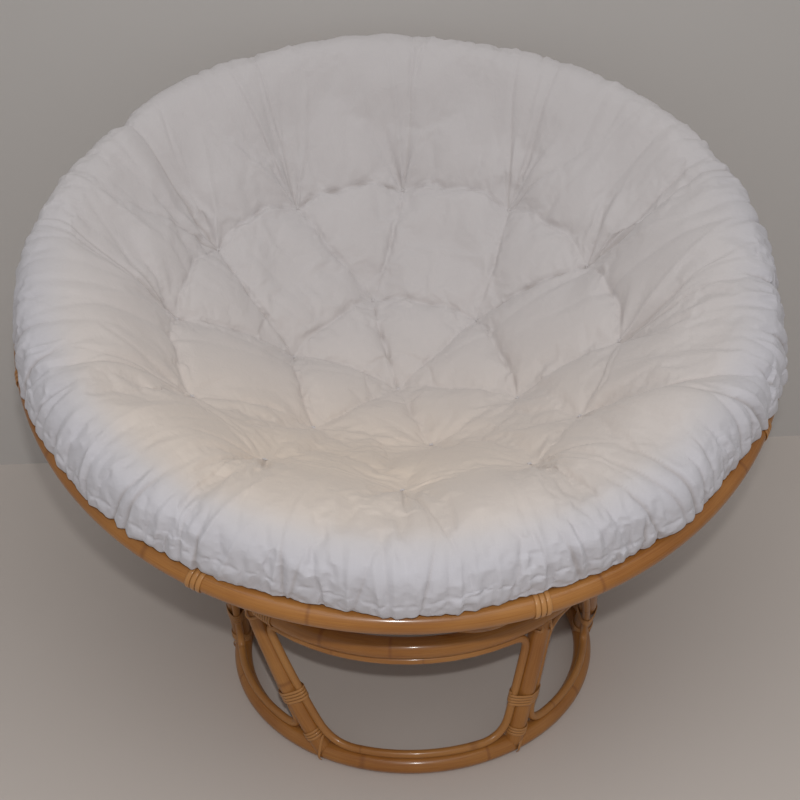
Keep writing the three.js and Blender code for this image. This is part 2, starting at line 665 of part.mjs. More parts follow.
// How deep the fold that runs out from the nearest outer tuft is. It fades towards the edge.
function foldDepth(radius, azimuth) {
  const sector = FULL_TURN / TUFT_OUTER_COUNT;
  const turn = (azimuth - cushionTurn) / sector;
  const fading = lerp(1, FOLD_EDGE_SHARE, smooth(TUFT_OUTER_RADIUS, rollCentreRadius, radius));
  const across = Math.abs(turn - Math.round(turn)) * sector * radius;
  return radius > TUFT_OUTER_RADIUS ? FOLD_DENT * fading * bump(across, CREASE_REACH) : 0;
}

// Upper face inside the roll: crowned pads between the tufts, rising to the roll's crest
const crestHeight = CUSHION_ROLL_RISE + CUSHION_ROLL_RADIUS;
function faceHeight(radius, azimuth) {
  const place = plan(radius, azimuth);
  const crown = TUFT_DENT - tuftDepth(Math.min(radius, TUFT_OUTER_RADIUS));
  const toCrest = smooth(TUFT_OUTER_RADIUS, rollCentreRadius, radius);
  const climb = Math.sin(toCrest * HALF_TURN / 2);
  const slump = CUSHION_SLUMP * Math.cos(azimuth) * Math.min(radius / TUFT_OUTER_RADIUS, 1);
  const body = lerp(crown + slump, crestHeight, climb);
  const toTuft = Math.min(...tufts.map((tuft) => place.distanceTo(tuft)));
  const toCrease = Math.min(...creases.map((line) => distanceToCrease(place, line)));
  return body - Math.max(
    TUFT_DENT * bump(toTuft, TUFT_REACH),
    CREASE_DENT * bump(toCrease, CREASE_REACH),
    foldDepth(radius, azimuth));
}

// Section of the cushion at one azimuth, from near the middle of its face round to its underside
function cushionSection(azimuth) {
  const section = [];
  const zones = [0, TUFT_INNER_RADIUS, TUFT_OUTER_RADIUS, rollCentreRadius];
  zones.slice(1).forEach((outer, zone) => {
    for (const share of FACE_SHARES) {
      const radius = lerp(zones[zone], outer, share);
      section.push([radius, faceHeight(radius, azimuth)]);
    }
  });
  const puff = CUSHION_ROLL_RADIUS - foldDepth(RIM_RADIUS, azimuth);
  for (const angle of ROLL_ANGLES_DEG.map(rad)) {
    const width = lerp(CUSHION_ROLL_RADIUS, puff, Math.sin(angle));
    section.push([
      rollCentreRadius + width * Math.cos(angle),
      CUSHION_ROLL_RISE + puff * Math.sin(angle),
    ]);
  }
  // The roll is flattened where it lies on the rim and its wraps, and tucks down inside them
  for (let corner = 2; corner <= WRAP_SIDES / 2; corner += 1) {
    const angle = ((2 * corner + 1) * HALF_TURN) / WRAP_SIDES;
    section.push([RIM_RADIUS + rimClear * Math.cos(angle), rimClear * Math.sin(angle)]);
  }
  const seatAngle = Math.asin((RIM_RADIUS - 2 * rimClear) / ribInsideRadius);
  const flatAngle = Math.acos((SPHERE_CENTRE_RISE - underHeight) / ribInsideRadius);
  for (const share of UNDERSIDE_SHARES) {
    const angle = lerp(seatAngle, flatAngle, share);
    section.push([
      ribInsideRadius * Math.sin(angle),
      SPHERE_CENTRE_RISE - ribInsideRadius * Math.cos(angle),
    ]);
  }
  section.push([bottomRingRadius / 2, underHeight]);
  return section;
}

function cushionGeometry() {
  const positions = [];
  const triangles = [];
  let rows = 0;
  for (let i = 0; i < CUSHION_SECTORS; i += 1) {
    const azimuth = cushionTurn + (FULL_TURN * i) / CUSHION_SECTORS;
    const section = cushionSection(azimuth);
    rows = section.length;
    for (const [radius, height] of section) {
      const place = plan(radius, azimuth);
      positions.push([place.x, place.y, height - SPHERE_CENTRE_RISE]);
    }
  }
  const topCentre = positions.length;
  positions.push([0, 0, faceHeight(0, 0) - SPHERE_CENTRE_RISE], [0, 0, underHeight - SPHERE_CENTRE_RISE]);
  for (let i = 0; i < CUSHION_SECTORS; i += 1) {
    const here = i * rows;
    const next = ((i + 1) % CUSHION_SECTORS) * rows;
    triangles.push([topCentre, here, next], [topCentre + 1, next + rows - 1, here + rows - 1]);
    for (let j = 0; j < rows - 1; j += 1) {
      triangles.push([here + j, here + j + 1, next + j + 1], [here + j, next + j + 1, next + j]);
    }
  }
  return geometryFrom(positions, triangles);
}

named('cushion', cushionGeometry(), cottonPaint, bowl);

// Stands the finished chair centred over the origin
chair.updateMatrixWorld(true);
const middle = new THREE.Box3().setFromObject(chair, true).getCenter(new THREE.Vector3());
chair.position.set(-middle.x, -middle.y, 0);
chair.updateMatrixWorld(true);

console.log(`least gap of a binding to itself: ${leastStripGap.toFixed(2)} mm`);

export default chair;
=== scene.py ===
# Papasan chair in Blender: a rattan base, a loose rattan bowl and a tufted cushion.
import json
from math import acos, asin, atan2, cos, hypot, pi, radians, sin, sqrt

import bmesh
import bpy
import numpy as np
from mathutils import Matrix, Vector


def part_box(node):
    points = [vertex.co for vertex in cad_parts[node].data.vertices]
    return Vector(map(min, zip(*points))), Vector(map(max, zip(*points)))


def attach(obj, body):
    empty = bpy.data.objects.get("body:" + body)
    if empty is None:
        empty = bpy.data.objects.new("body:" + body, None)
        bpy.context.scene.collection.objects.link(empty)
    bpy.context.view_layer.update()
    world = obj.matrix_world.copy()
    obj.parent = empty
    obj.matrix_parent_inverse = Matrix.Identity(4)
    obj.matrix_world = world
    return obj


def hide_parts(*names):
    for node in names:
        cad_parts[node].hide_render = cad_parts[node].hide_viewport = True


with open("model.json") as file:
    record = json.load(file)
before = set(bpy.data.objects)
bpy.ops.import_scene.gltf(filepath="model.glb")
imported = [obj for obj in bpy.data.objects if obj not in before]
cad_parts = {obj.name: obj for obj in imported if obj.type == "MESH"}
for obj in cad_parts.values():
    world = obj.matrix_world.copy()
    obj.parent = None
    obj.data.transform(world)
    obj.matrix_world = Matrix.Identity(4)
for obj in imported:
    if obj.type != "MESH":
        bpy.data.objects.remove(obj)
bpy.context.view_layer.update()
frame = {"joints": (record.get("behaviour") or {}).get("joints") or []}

scene = bpy.context.scene
scene.view_settings.view_transform = "Standard"


# The room: a pale warm-grey floor with a wall close behind the chair. A small lamp just above the
# camera draws the glints, a wide one overhead gives the shape, and a pale sky fills the shadows.
CAMERA_PLACE = Vector((-0.1483, -1.5838, 1.3508))
CAMERA_YAW = radians(5.17)
CAMERA_PITCH = radians(29.88)
CAMERA_ROLL = radians(-1.59)
CAMERA_LENS = 54
WALL_BEHIND = 0.55
WALL_TURN = radians(-4.25)
ROOM_HALF = 6.0
FLOOR_TONE = (0.645, 0.580, 0.530, 1)
WALL_TONE = (0.575, 0.545, 0.518, 1)
CLOUD_SHADE = 0.93

camera_data = bpy.data.cameras.new("camera")
camera_data.lens = CAMERA_LENS
camera_data.sensor_width = 36
camera = bpy.data.objects.new("camera", camera_data)
scene.collection.objects.link(camera)
camera.matrix_world = (
    Matrix.Translation(CAMERA_PLACE) @ Matrix.Rotation(-CAMERA_YAW, 4, "Z")
    @ Matrix.Rotation(pi / 2 - CAMERA_PITCH, 4, "X") @ Matrix.Rotation(CAMERA_ROLL, 4, "Z"))
scene.camera = camera


def new_material(name):
    """A material with an empty Principled BSDF, its node tree and that shader."""
    material = bpy.data.materials.new(name)
    material.use_nodes = True
    tree = material.node_tree
    return material, tree, tree.nodes["Principled BSDF"]


def feed(made, *feeds, **settings):
    """Gives a node its values: feeds go to its inputs in order, a setting to the input or property
    that it names. A socket is linked, and another node stands for its first output in use."""
    values = list(zip(made.inputs, feeds))
    for key, value in settings.items():
        socket = key.replace("_", " ")
        if socket in made.inputs:
            values.append((made.inputs[socket], value))
        else:
            setattr(made, key, value)
    for socket, value in values:
        if isinstance(value, bpy.types.Node):
            value = next(output for output in value.outputs if output.enabled)
        if isinstance(value, bpy.types.NodeSocket):
            made.id_data.links.new(value, socket)
        else:
            socket.default_value = value
    return made


def node(tree, kind, *feeds, **settings):
    return feed(tree.nodes.new("ShaderNode" + kind), *feeds, **settings)


def object_from(mesh, name, *materials):
    """Turns a bmesh into an object of the scene."""
    data = bpy.data.meshes.new(name)
    mesh.to_mesh(data)
    mesh.free()
    for material in materials:
        data.materials.append(material)
    made = bpy.data.objects.new(name, data)
    scene.collection.objects.link(made)
    return made


def painted_plane(name, tone, across, matrix):
    """A large stage plane in one tone with a faint cloudy unevenness, clear from behind."""
    material, tree, shader = new_material(name)
    place = node(tree, "TexCoord").outputs["Object"]
    cloud = node(tree, "TexNoise", place, Scale=1.3, Detail=3.0)
    cloudy = (tone[0] * CLOUD_SHADE, tone[1] * CLOUD_SHADE, tone[2] * CLOUD_SHADE, 1)
    tint = node(tree, "Mix", data_type="RGBA", Factor=cloud, A=tone, B=cloudy)
    feed(shader, Base_Color=tint, Roughness=0.75)
    either = node(
        tree, "MixShader", node(tree, "NewGeometry").outputs["Backfacing"], shader,
        node(tree, "BsdfTransparent"))
    feed(tree.nodes["Material Output"], Surface=either)
    mesh = bmesh.new()
    bmesh.ops.create_grid(mesh, x_segments=2, y_segments=2, size=across)
    bmesh.ops.transform(mesh, matrix=matrix, verts=mesh.verts)
    object_from(mesh, name, material)


painted_plane("floor", FLOOR_TONE, ROOM_HALF, Matrix.Identity(4))
painted_plane(
    "wall", WALL_TONE, ROOM_HALF,
    Matrix.Translation((0, WALL_BEHIND, 0)) @ Matrix.Rotation(WALL_TURN, 4, "Z")
    @ Matrix.Rotation(radians(90), 4, "X"))

LAMP_TARGET = Vector((0, 0, 0.45))
FLASH_PLACE = CAMERA_PLACE + Vector((0.02, 0, 0.15))
CEILING_PLACE = Vector((0.05, -1.0, 3.1))
for lamp_name, place, power, width in (
        ("flash", FLASH_PLACE, 8.8, 0.045), ("ceiling", CEILING_PLACE, 22, 2.8)):
    lamp_data = bpy.data.lights.new(lamp_name, "AREA")
    lamp_data.energy = power
    lamp_data.shape = "DISK"
    lamp_data.size = width
    lamp = bpy.data.objects.new(lamp_name, lamp_data)
    aim = (place - LAMP_TARGET).to_track_quat("Z", "Y").to_matrix().to_4x4()
    lamp.matrix_world = Matrix.Translation(place) @ aim
    scene.collection.objects.link(lamp)

SKY_TONE = (0.97, 0.98, 1.0, 1)
SKY_STRENGTH = 0.34
scene.world = bpy.data.worlds.new("sky")
scene.world.use_nodes = True
feed(scene.world.node_tree.nodes["Background"], Color=SKY_TONE, Strength=SKY_STRENGTH)


# Rattan poles: peeled cane, steam-bent, sanded and varnished a honey brown. The skin shows fine
# fibres along the pole, a darker ring with a slight swelling at each node, and a wet gloss.
POLE_LIGHT = (0.43, 0.190, 0.048, 1)
POLE_DARK = (0.28, 0.098, 0.019, 1)
NODE_SPACING = 0.23
NODE_TONE = (0.17, 0.055, 0.017, 1)

# The grain group reads the run attribute of a pole: metres along it, then the way round it.
grain = bpy.data.node_groups.new("rattan_grain", "ShaderNodeTree")
for socket, kind, default in (
        ("Light", "Color", POLE_LIGHT), ("Dark", "Color", POLE_DARK), ("Ring", "Color", NODE_TONE),
        ("Rings per metre", "Float", 1 / NODE_SPACING), ("Fibre", "Float", 14.0),
        ("Ring weight", "Float", 1.0)):
    made = grain.interface.new_socket(socket, in_out="INPUT", socket_type="NodeSocket" + kind)
    made.default_value = default
for socket, kind in (("Color", "Color"), ("Roughness", "Float"), ("Height", "Float")):
    grain.interface.new_socket(socket, in_out="OUTPUT", socket_type="NodeSocket" + kind)
given = grain.nodes.new("NodeGroupInput").outputs
run = node(grain, "Attribute", attribute_name="run").outputs["Vector"]
stretched = node(grain, "VectorMath", run, operation="SCALE", Scale=given["Fibre"])
fibres = node(
    grain, "TexNoise", stretched, Scale=1.0, Detail=5.0, Roughness=0.65, Distortion=0.25)
place = node(grain, "TexCoord").outputs["Object"]
blotch = node(grain, "TexNoise", place, Scale=7.0, Detail=3.0, Roughness=0.5)
blotch_half = node(grain, "Math", blotch, 0.5, operation="MULTIPLY")
mixed = node(grain, "Math", fibres, 0.55, blotch_half, operation="MULTIPLY_ADD")
contrast = node(grain, "MapRange", mixed, From_Min=0.36, From_Max=0.68)
skin = node(
    grain, "Mix", data_type="RGBA", Factor=contrast, A=given["Dark"], B=given["Light"])
along = node(grain, "SeparateXYZ", run)
wobble = node(grain, "TexNoise", noise_dimensions="1D", W=along, Scale=3.1, Detail=0.0)
count = node(grain, "Math", along, given["Rings per metre"], wobble, operation="MULTIPLY_ADD")
to_ring = node(grain, "Math", count, 0.5, operation="PINGPONG")
ring = node(
    grain, "MapRange", to_ring, interpolation_type="SMOOTHSTEP", From_Min=0.022, From_Max=0.0)
ringed = node(grain, "Math", ring, given["Ring weight"], operation="MULTIPLY")
toned = node(grain, "Mix", data_type="RGBA", Factor=ringed, A=skin, B=given["Ring"])
rough = node(grain, "MapRange", blotch, To_Min=0.24, To_Max=0.42)
height = node(grain, "Math", fibres, 0.35, ringed, operation="MULTIPLY_ADD")
feed(grain.nodes.new("NodeGroupOutput"), Color=toned, Roughness=rough, Height=height)


def rattan(name, light, dark, ring_weight, gloss, bump):
    """Varnished rattan: the grain group under a clear coat."""
    material, tree, shader = new_material(name)
    skin = node(tree, "Group", node_tree=grain, Light=light, Dark=dark, Ring_weight=ring_weight)
    relief = node(tree, "Bump", Strength=bump, Distance=0.0006, Height=skin.outputs["Height"])
    feed(shader, Base_Color=skin, Roughness=skin.outputs["Roughness"], Normal=relief,
         Coat_Weight=gloss, Coat_Roughness=0.13, Specular_IOR_Level=0.25)
    return material


pole_skin = rattan("pole_skin", POLE_LIGHT, POLE_DARK, 0.45, 0.40, 0.35)


def piece_from(mesh, name, material, body, *nodes, slot="rattan_pole", matrix=Matrix.Identity(4)):
    """Puts a bmesh in place, smooths it, and hands it to the body that carries it."""
    bmesh.ops.transform(mesh, matrix=matrix, verts=mesh.verts)
    bmesh.ops.recalc_face_normals(mesh, faces=mesh.faces)
    for face in mesh.faces:
        face.smooth = True
    piece = object_from(mesh, name, material)
    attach(piece, body)
    if nodes:
        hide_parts(*nodes)
    return piece


def bend_pole(points, outs, across, thick=None, closed=False, sides=20, start=0.0):
    """Bends an outline along a path: each station copies the last ring of edges and moves it on.
    The run attribute keeps metres along the pole and the way round it for the grain."""
    count = len(points)
    stations = []
    for i, point in enumerate(points):
        before = points[i - 1] if closed or i > 0 else point
        after = points[(i + 1) % count] if closed or i < count - 1 else point
        onward = (after - before).normalized()
        out = (outs[i] - onward * onward.dot(outs[i])).normalized()
        turn = Matrix((out.cross(onward), out, onward)).transposed().to_4x4()
        stations.append(Matrix.Translation(point) @ turn)
    mesh = bmesh.new()
    run = mesh.verts.layers.float_vector.new("run")
    ring = bmesh.ops.create_circle(mesh, segments=sides, radius=across / 2)["verts"]
    for vert in ring:
        vert[run] = Vector((start, vert.co.x * 2 / across, vert.co.y * 2 / across))
    bmesh.ops.scale(mesh, vec=(1, (thick or across) / across, 1), verts=ring)
    bmesh.ops.transform(mesh, matrix=stations[0], verts=ring)
    first = edges = list(mesh.edges)
    along = start
    for i in range(1, count):
        along += (points[i] - points[i - 1]).length
        grown = bmesh.ops.extrude_edge_only(mesh, edges=edges)["geom"]
        ring = [part for part in grown if isinstance(part, bmesh.types.BMVert)]
        fresh = set(ring)
        edges = [
            part for part in grown
            if isinstance(part, bmesh.types.BMEdge) and fresh.issuperset(part.verts)]
        for vert in ring:
            vert[run].x = along
        bmesh.ops.transform(mesh, matrix=stations[i] @ stations[i - 1].inverted(), verts=ring)
    if closed:
        bmesh.ops.bridge_loops(mesh, edges=first + edges)
    else:
        bmesh.ops.holes_fill(mesh, edges=first + edges, sides=0)
    return mesh


def azimuth_way(azimuth):
    """Level direction at an azimuth that counts from the front of the chair to its left."""
    return Vector((sin(azimuth), -cos(azimuth), 0))


def ring_pole(radius, height, across, steps, start_at=0.0, sides=24):
    """A pole bent to a full level ring round the Z axis."""
    azimuths = [start_at + 2 * pi * i / steps for i in range(steps)]
    points = [azimuth_way(a) * radius + Vector((0, 0, height)) for a in azimuths]
    return bend_pole(points, [azimuth_way(a) for a in azimuths], across, closed=True, sides=sides)


# Base rings: two bent poles, each closed by a long scarf joint. The lower one is sanded level
# underneath and stands on the floor, the upper one carries the bowl.
UPPER_RING_RADIUS = 0.288
UPPER_RING_ACROSS = 0.030
LOWER_RING_RADIUS = 0.280
LOWER_RING_ACROSS = 0.028
BASE_HEIGHT = 0.257
FLOOR_FLAT = 0.001
BASE_TURN = radians(-4.2)
RING_STEPS = 156
UPPER_SCARF = -0.4
LOWER_SCARF = 2.1
upper_height = BASE_HEIGHT - UPPER_RING_ACROSS / 2
lower_height = LOWER_RING_ACROSS / 2 - FLOOR_FLAT
ring_low, ring_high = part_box("base_lower_ring")
middle = (Vector(ring_low) + Vector(ring_high)) / 2
base_place = Matrix.Translation((middle.x, middle.y, 0)) @ Matrix.Rotation(BASE_TURN, 4, "Z")

mesh = ring_pole(UPPER_RING_RADIUS, upper_height, UPPER_RING_ACROSS, RING_STEPS, UPPER_SCARF)
piece_from(mesh, "upper_ring", pole_skin, "base", "base_upper_ring", matrix=base_place)
mesh = ring_pole(LOWER_RING_RADIUS, lower_height, LOWER_RING_ACROSS, RING_STEPS, LOWER_SCARF)
for vert in mesh.verts:
    vert.co.z = max(vert.co.z, 0)
piece_from(mesh, "lower_ring", pole_skin, "base", "base_lower_ring", matrix=base_place)


# Uprights: six straight poles, coped to both rings and nailed. Their feet stand evenly round the
# ring, their heads close up in pairs and the whole set leans a little one way.
UPRIGHT_ACROSS = 0.029
UPRIGHT_COUNT = 6
PAIR_TOP_SPREAD = radians(25)
BASE_TWIST = radians(8.7)
UPRIGHT_STEPS = 24


def side_radius(height):
    """Radius of the base's side at a height; it is a little wider on top."""
    share = (height - lower_height) / (upper_height - lower_height)
    return LOWER_RING_RADIUS + (UPPER_RING_RADIUS - LOWER_RING_RADIUS) * share


def side_point(azimuth, height):
    return azimuth_way(azimuth) * side_radius(height) + Vector((0, 0, height))


def upright_azimuth(index, height):
    sector = 2 * pi / UPRIGHT_COUNT
    foot = sector * (index + 0.5)
    pair = 1 if index % 2 == 0 else -1
    head = foot + pair * (sector - PAIR_TOP_SPREAD) / 2 - BASE_TWIST
    return foot + (head - foot) * (height - lower_height) / (upper_height - lower_height)


heights = [
    lower_height + (upper_height - lower_height) * i / UPRIGHT_STEPS
    for i in range(UPRIGHT_STEPS + 1)]
for index in range(UPRIGHT_COUNT):
    points = [side_point(upright_azimuth(index, h), h) for h in heights]
    outs = [azimuth_way(upright_azimuth(index, h)) for h in heights]
    mesh = bend_pole(points, outs, UPRIGHT_ACROSS, sides=24, start=index * 1.37)
    name = f"upright_{index + 1}"
    piece_from(mesh, name, pole_skin, "base", f"base_{name}", matrix=base_place)


# Opening loops: thin rattan bent to a closed rounded trapezium that lines each opening. It lies
# under the upper ring, beside both uprights and on the lower ring, and the lashings hold it.
LOOP_ACROSS = 0.012
LOOP_TOP_CORNER = 0.032
LOOP_BOTTOM_CORNER = 0.040
CORNER_STEPS = 8
EDGE_STEPS = 12
POLE_GAP = 0.0003
STRIP_THICK = 0.0016
LOOP_LIGHT = (0.47, 0.220, 0.064, 1)
LOOP_DARK = (0.31, 0.118, 0.028, 1)
loop_skin = rattan("loop_skin", LOOP_LIGHT, LOOP_DARK, 0.35, 0.35, 0.3)
beside = (UPRIGHT_ACROSS + LOOP_ACROSS) / 2 + POLE_GAP
loop_top = (
    upper_height - UPPER_RING_ACROSS / 2 - STRIP_THICK - 2 * POLE_GAP - LOOP_ACROSS / 2)
loop_bottom = lower_height + (LOWER_RING_ACROSS + LOOP_ACROSS) / 2


def upright_frame(index, height):
    """Origin, axis, sideways and outward directions of an upright at a height."""
    step = 0.001
    origin = side_point(upright_azimuth(index, height), height)
    axis = side_point(upright_azimuth(index, height + step), height + step) - origin
    axis.normalize()
    out = azimuth_way(upright_azimuth(index, height))
    out = (out - axis * axis.dot(out)).normalized()
    return origin, axis, out.cross(axis), out


def upright_lean(index, height):
    """How far an upright leans to its side, as an angle."""
    azimuth = upright_azimuth(index, height)
    return asin(upright_frame(index, height)[1].dot(Vector((cos(azimuth), sin(azimuth), 0))))


def loop_edge_azimuth(index, height, side):
    """Where a loop's edge stands, one pole's width beside an upright."""
    across = side * beside / cos(upright_lean(index, height))
    return upright_azimuth(index, height) + across / side_radius(height)


def loop_points(index):
    """Stations round a loop: straight edges and bent corners, laid on the side of the base."""
    after = (index + 1) % UPRIGHT_COUNT
    turn = 2 * pi if after == 0 else 0
    mean = (LOWER_RING_RADIUS + UPPER_RING_RADIUS) / 2
    corners = [
        (loop_edge_azimuth(index, loop_bottom, 1), loop_bottom, LOOP_BOTTOM_CORNER),
        (loop_edge_azimuth(after, loop_bottom, -1) + turn, loop_bottom, LOOP_BOTTOM_CORNER),
        (loop_edge_azimuth(after, loop_top, -1) + turn, loop_top, LOOP_TOP_CORNER),
        (loop_edge_azimuth(index, loop_top, 1), loop_top, LOOP_TOP_CORNER)]
    flat = [(Vector((azimuth * mean, height)), reach) for azimuth, height, reach in corners]
    places = []
    for i, (corner, reach) in enumerate(flat):
        before, after_corner = flat[i - 1][0], flat[(i + 1) % 4][0]
        start = corner.lerp(before, reach / (corner - before).length)
        end = corner.lerp(after_corner, reach / (corner - after_corner).length)
        for k in range(CORNER_STEPS + 1):
            t = k / CORNER_STEPS
            places.append(start * (1 - t) ** 2 + corner * 2 * t * (1 - t) + end * t ** 2)
        next_reach = flat[(i + 1) % 4][1]
        stop = after_corner.lerp(corner, next_reach / (corner - after_corner).length)
        places += [end.lerp(stop, k / EDGE_STEPS) for k in range(1, EDGE_STEPS)]
    return [(place.x / mean, place.y) for place in places]


for index in range(UPRIGHT_COUNT):
    places = loop_points(index)
    points = [side_point(azimuth, height) for azimuth, height in places]
    outs = [azimuth_way(azimuth) for azimuth, height in places]
    mesh = bend_pole(points, outs, LOOP_ACROSS, closed=True, sides=16, start=index * 0.83)
    name = f"opening_loop_{index + 1}"
    piece_from(mesh, name + "_pole", loop_skin, "base", name, slot="rattan_loop", matrix=base_place)


# Lashings: flat strips of rattan peel, soaked and wound tight so that they dry hard. Four turns
# bind each upright to the loops beside it, and three more hold each foot to the lower ring.
STRIP_WIDTH = 0.0043
STRIP_PITCH = 0.0048
STRIP_LIGHT = (0.52, 0.255, 0.085, 1)
STRIP_DARK = (0.33, 0.135, 0.036, 1)
MID_HEIGHT = 0.102
MID_TURNS = 4
FOOT_HEIGHT = 0.034
FOOT_TURNS = 3
FOOT_TAIL = (10, -10, -36, -50)  # degrees up round the lower ring
strip_skin = rattan("strip_skin", STRIP_LIGHT, STRIP_DARK, 0.0, 0.35, 0.5)


def rounded(points, outs):
    """Rounds a chain of corners: it passes through the middle of each edge and bends between."""
    mid_points, mid_outs = [], []
    for i in range(1, len(points) - 1):
        for t in (0, 0.25, 0.5, 0.75):
            a, b, c = (1 - t) ** 2 / 2, 0.5 + t * (1 - t), t ** 2 / 2
            mid_points.append(points[i - 1] * a + points[i] * b + points[i + 1] * c)
            mid_outs.append((outs[i - 1] * a + outs[i] * b + outs[i + 1] * c).normalized())
    return mid_points, mid_outs


def wound(frame_at, poles, turns, pitch, start, corners=12):
    """Corner points of a strip wound round poles, each given as (across, outward, radius)."""
    lift = POLE_GAP + STRIP_THICK / 2
    reach = lambda way: max(
        u * cos(way) + v * sin(way) + radius + lift for u, v, radius in poles)
    step = 2 * pi / corners
    points, outs = [], []
    for i in range(-1, turns * corners + 2):
        way = start + i * step
        a, b = reach(way), reach(way + step)
        u = (a * sin(way + step) - b * sin(way)) / sin(step)
        v = (b * cos(way) - a * cos(way + step)) / sin(step)
        origin, across, out = frame_at((i / corners - turns / 2) * pitch)
        points.append(origin + across * u + out * v)
        outs.append(across * cos(way + step / 2) + out * sin(way + step / 2))
    return points, outs


def lash(name, winding, body, cad_node, matrix, width=STRIP_WIDTH, start=0.0):
    """Makes one strip from a winding: its corner points and the way out at each."""
    points, outs = rounded(*winding)
    mesh = bend_pole(points, outs, width, thick=STRIP_THICK, sides=10, start=start)
    piece_from(mesh, name, strip_skin, body, cad_node, slot="rattan_binding", matrix=matrix)


def along_upright(index, height):
    origin, axis, across, out = upright_frame(index, height)
    return lambda along: (origin + axis * along, across, out)


def pole_beside(index, side):
    """Where the loop beside an upright crosses the level of its mid lashing."""
    origin, axis, across, out = upright_frame(index, MID_HEIGHT)
    height = MID_HEIGHT
    for _ in range(4):
        share = (height - loop_bottom) / (loop_top - loop_bottom)
        low = loop_edge_azimuth(index, loop_bottom, side)
        high = loop_edge_azimuth(index, loop_top, side)
        offset = side_point(low + (high - low) * share, height) - origin
        height -= offset.dot(axis)
    return offset.dot(across), offset.dot(out), LOOP_ACROSS / 2


for index in range(UPRIGHT_COUNT):
    poles = [pole_beside(index, -1), (0, 0, UPRIGHT_ACROSS / 2), pole_beside(index, 1)]
    winding = wound(
        along_upright(index, MID_HEIGHT), poles, MID_TURNS, STRIP_PITCH, 0, corners=20)
    lash(f"mid_lashing_strip_{index + 1}", winding, "base", f"mid_lashing_{index + 1}",
         base_place, start=index * 0.9)
    points, outs = wound(
        along_upright(index, FOOT_HEIGHT + FOOT_TURNS * STRIP_PITCH / 2),
        [(0, 0, UPRIGHT_ACROSS / 2)], FOOT_TURNS, STRIP_PITCH, pi, corners=8)
    azimuth = upright_azimuth(index, lower_height)
    lift = (LOWER_RING_ACROSS / 2 + POLE_GAP + STRIP_THICK) / cos(pi / 8)
    for tail in FOOT_TAIL:
        out = azimuth_way(azimuth) * cos(radians(tail))
        out.z = sin(radians(tail))
        points.insert(0, side_point(azimuth, lower_height) + out * lift)
        outs.insert(0, out)
    lash(f"foot_lashing_strip_{index + 1}", (points, outs), "base", f"foot_lashing_{index + 1}",
         base_place, start=index * 1.1)


# Head lashings: one strip goes over the upper ring, round the upright's neck and over the ring
# again, and crosses itself in an X at the front. A close winding covers the ring's own joint.
CROSS_SPACING = 0.017
CROSS_DROP = 0.005
CROSS_LIFT = 0.0008
SCARF_TURNS = 8
SCARF_OFFSET = 0.050
bowl_centre = Vector(frame["joints"][0]["pos_m"])
ring_to_centre = hypot(UPPER_RING_RADIUS, bowl_centre.z - upper_height)
ring_touch = pi + asin(UPPER_RING_RADIUS / ring_to_centre)
corner = pi / 8


def along_ring(radius, height, azimuth):
    return lambda along: (
        azimuth_way(azimuth + along / radius) * radius + Vector((0, 0, height)),
        azimuth_way(azimuth + along / radius), Vector((0, 0, 1)))


def cross_lift(across):
    return (across / 2 + POLE_GAP + STRIP_THICK / 2) / cos(corner)


for index in range(UPRIGHT_COUNT):
    lean = upright_lean(index, upper_height)
    drop = UPPER_RING_ACROSS / 2 + CROSS_DROP + UPRIGHT_ACROSS / 2 * abs(sin(lean))
    origin, axis, across, out = upright_frame(index, upper_height - drop)
    on_ring = along_ring(UPPER_RING_RADIUS, upper_height, upright_azimuth(index, upper_height))
    points, outs = [], []

    def over_ring(side, step):
        way = ring_touch + corner * (1 - 2 * step)
        place, u, v = on_ring(side * CROSS_SPACING / 2)
        normal = u * cos(way) + v * sin(way)
        points.append(place + normal * cross_lift(UPPER_RING_ACROSS))
        outs.append(normal)

    for step in range(-1, 4):
        over_ring(-1, step)
    for step in range(-1, 7):
        way = corner * (1 - 2 * step)
        normal = across * cos(way) + out * sin(way)
        points.append(origin + normal * cross_lift(UPRIGHT_ACROSS))
        outs.append(normal)
    bridge = cross_lift(UPRIGHT_ACROSS) + STRIP_THICK + POLE_GAP + CROSS_LIFT
    points.append(origin + axis * drop / 3 + out * bridge - across * STRIP_WIDTH / 2)
    outs.append(out)
    for step in range(3, -2, -1):
        over_ring(1, step)
    lash(f"cross_lashing_strip_{index + 1}", (points, outs), "base", f"cross_lashing_{index + 1}",
         base_place, start=index * 0.7)

scarf_azimuth = (
    upright_azimuth(UPRIGHT_COUNT - 1, upper_height) + SCARF_OFFSET / UPPER_RING_RADIUS)
winding = wound(
    along_ring(UPPER_RING_RADIUS, upper_height, scarf_azimuth), [(0, 0, UPPER_RING_ACROSS / 2)],
    SCARF_TURNS, STRIP_PITCH, ring_touch, corners=8)
lash("ring_joint_strip", winding, "base", "ring_joint_binding", base_place)


# Bowl rim: one pole bent to a ring more than a metre across, the widest piece of the chair. The
# cushion laps over it, so only its front and sides show from above.
RIM_RADIUS = 0.535
RIM_ACROSS = 0.030
RIM_STEPS = 240
SPHERE_CENTRE_RISE = 0.153
RIM_TURN = radians(12)
bowl_axis = Vector(frame["joints"][1]["axis"])
bowl_place = (
    Matrix.Translation(bowl_centre) @ Matrix.Rotation(atan2(-bowl_axis.y, bowl_axis.z), 4, "X"))
mesh = ring_pole(RIM_RADIUS, -SPHERE_CENTRE_RISE, RIM_ACROSS, RIM_STEPS, start_at=RIM_TURN)
piece_from(mesh, "rim", pole_skin, "bowl", "bowl_rim", matrix=bowl_place)


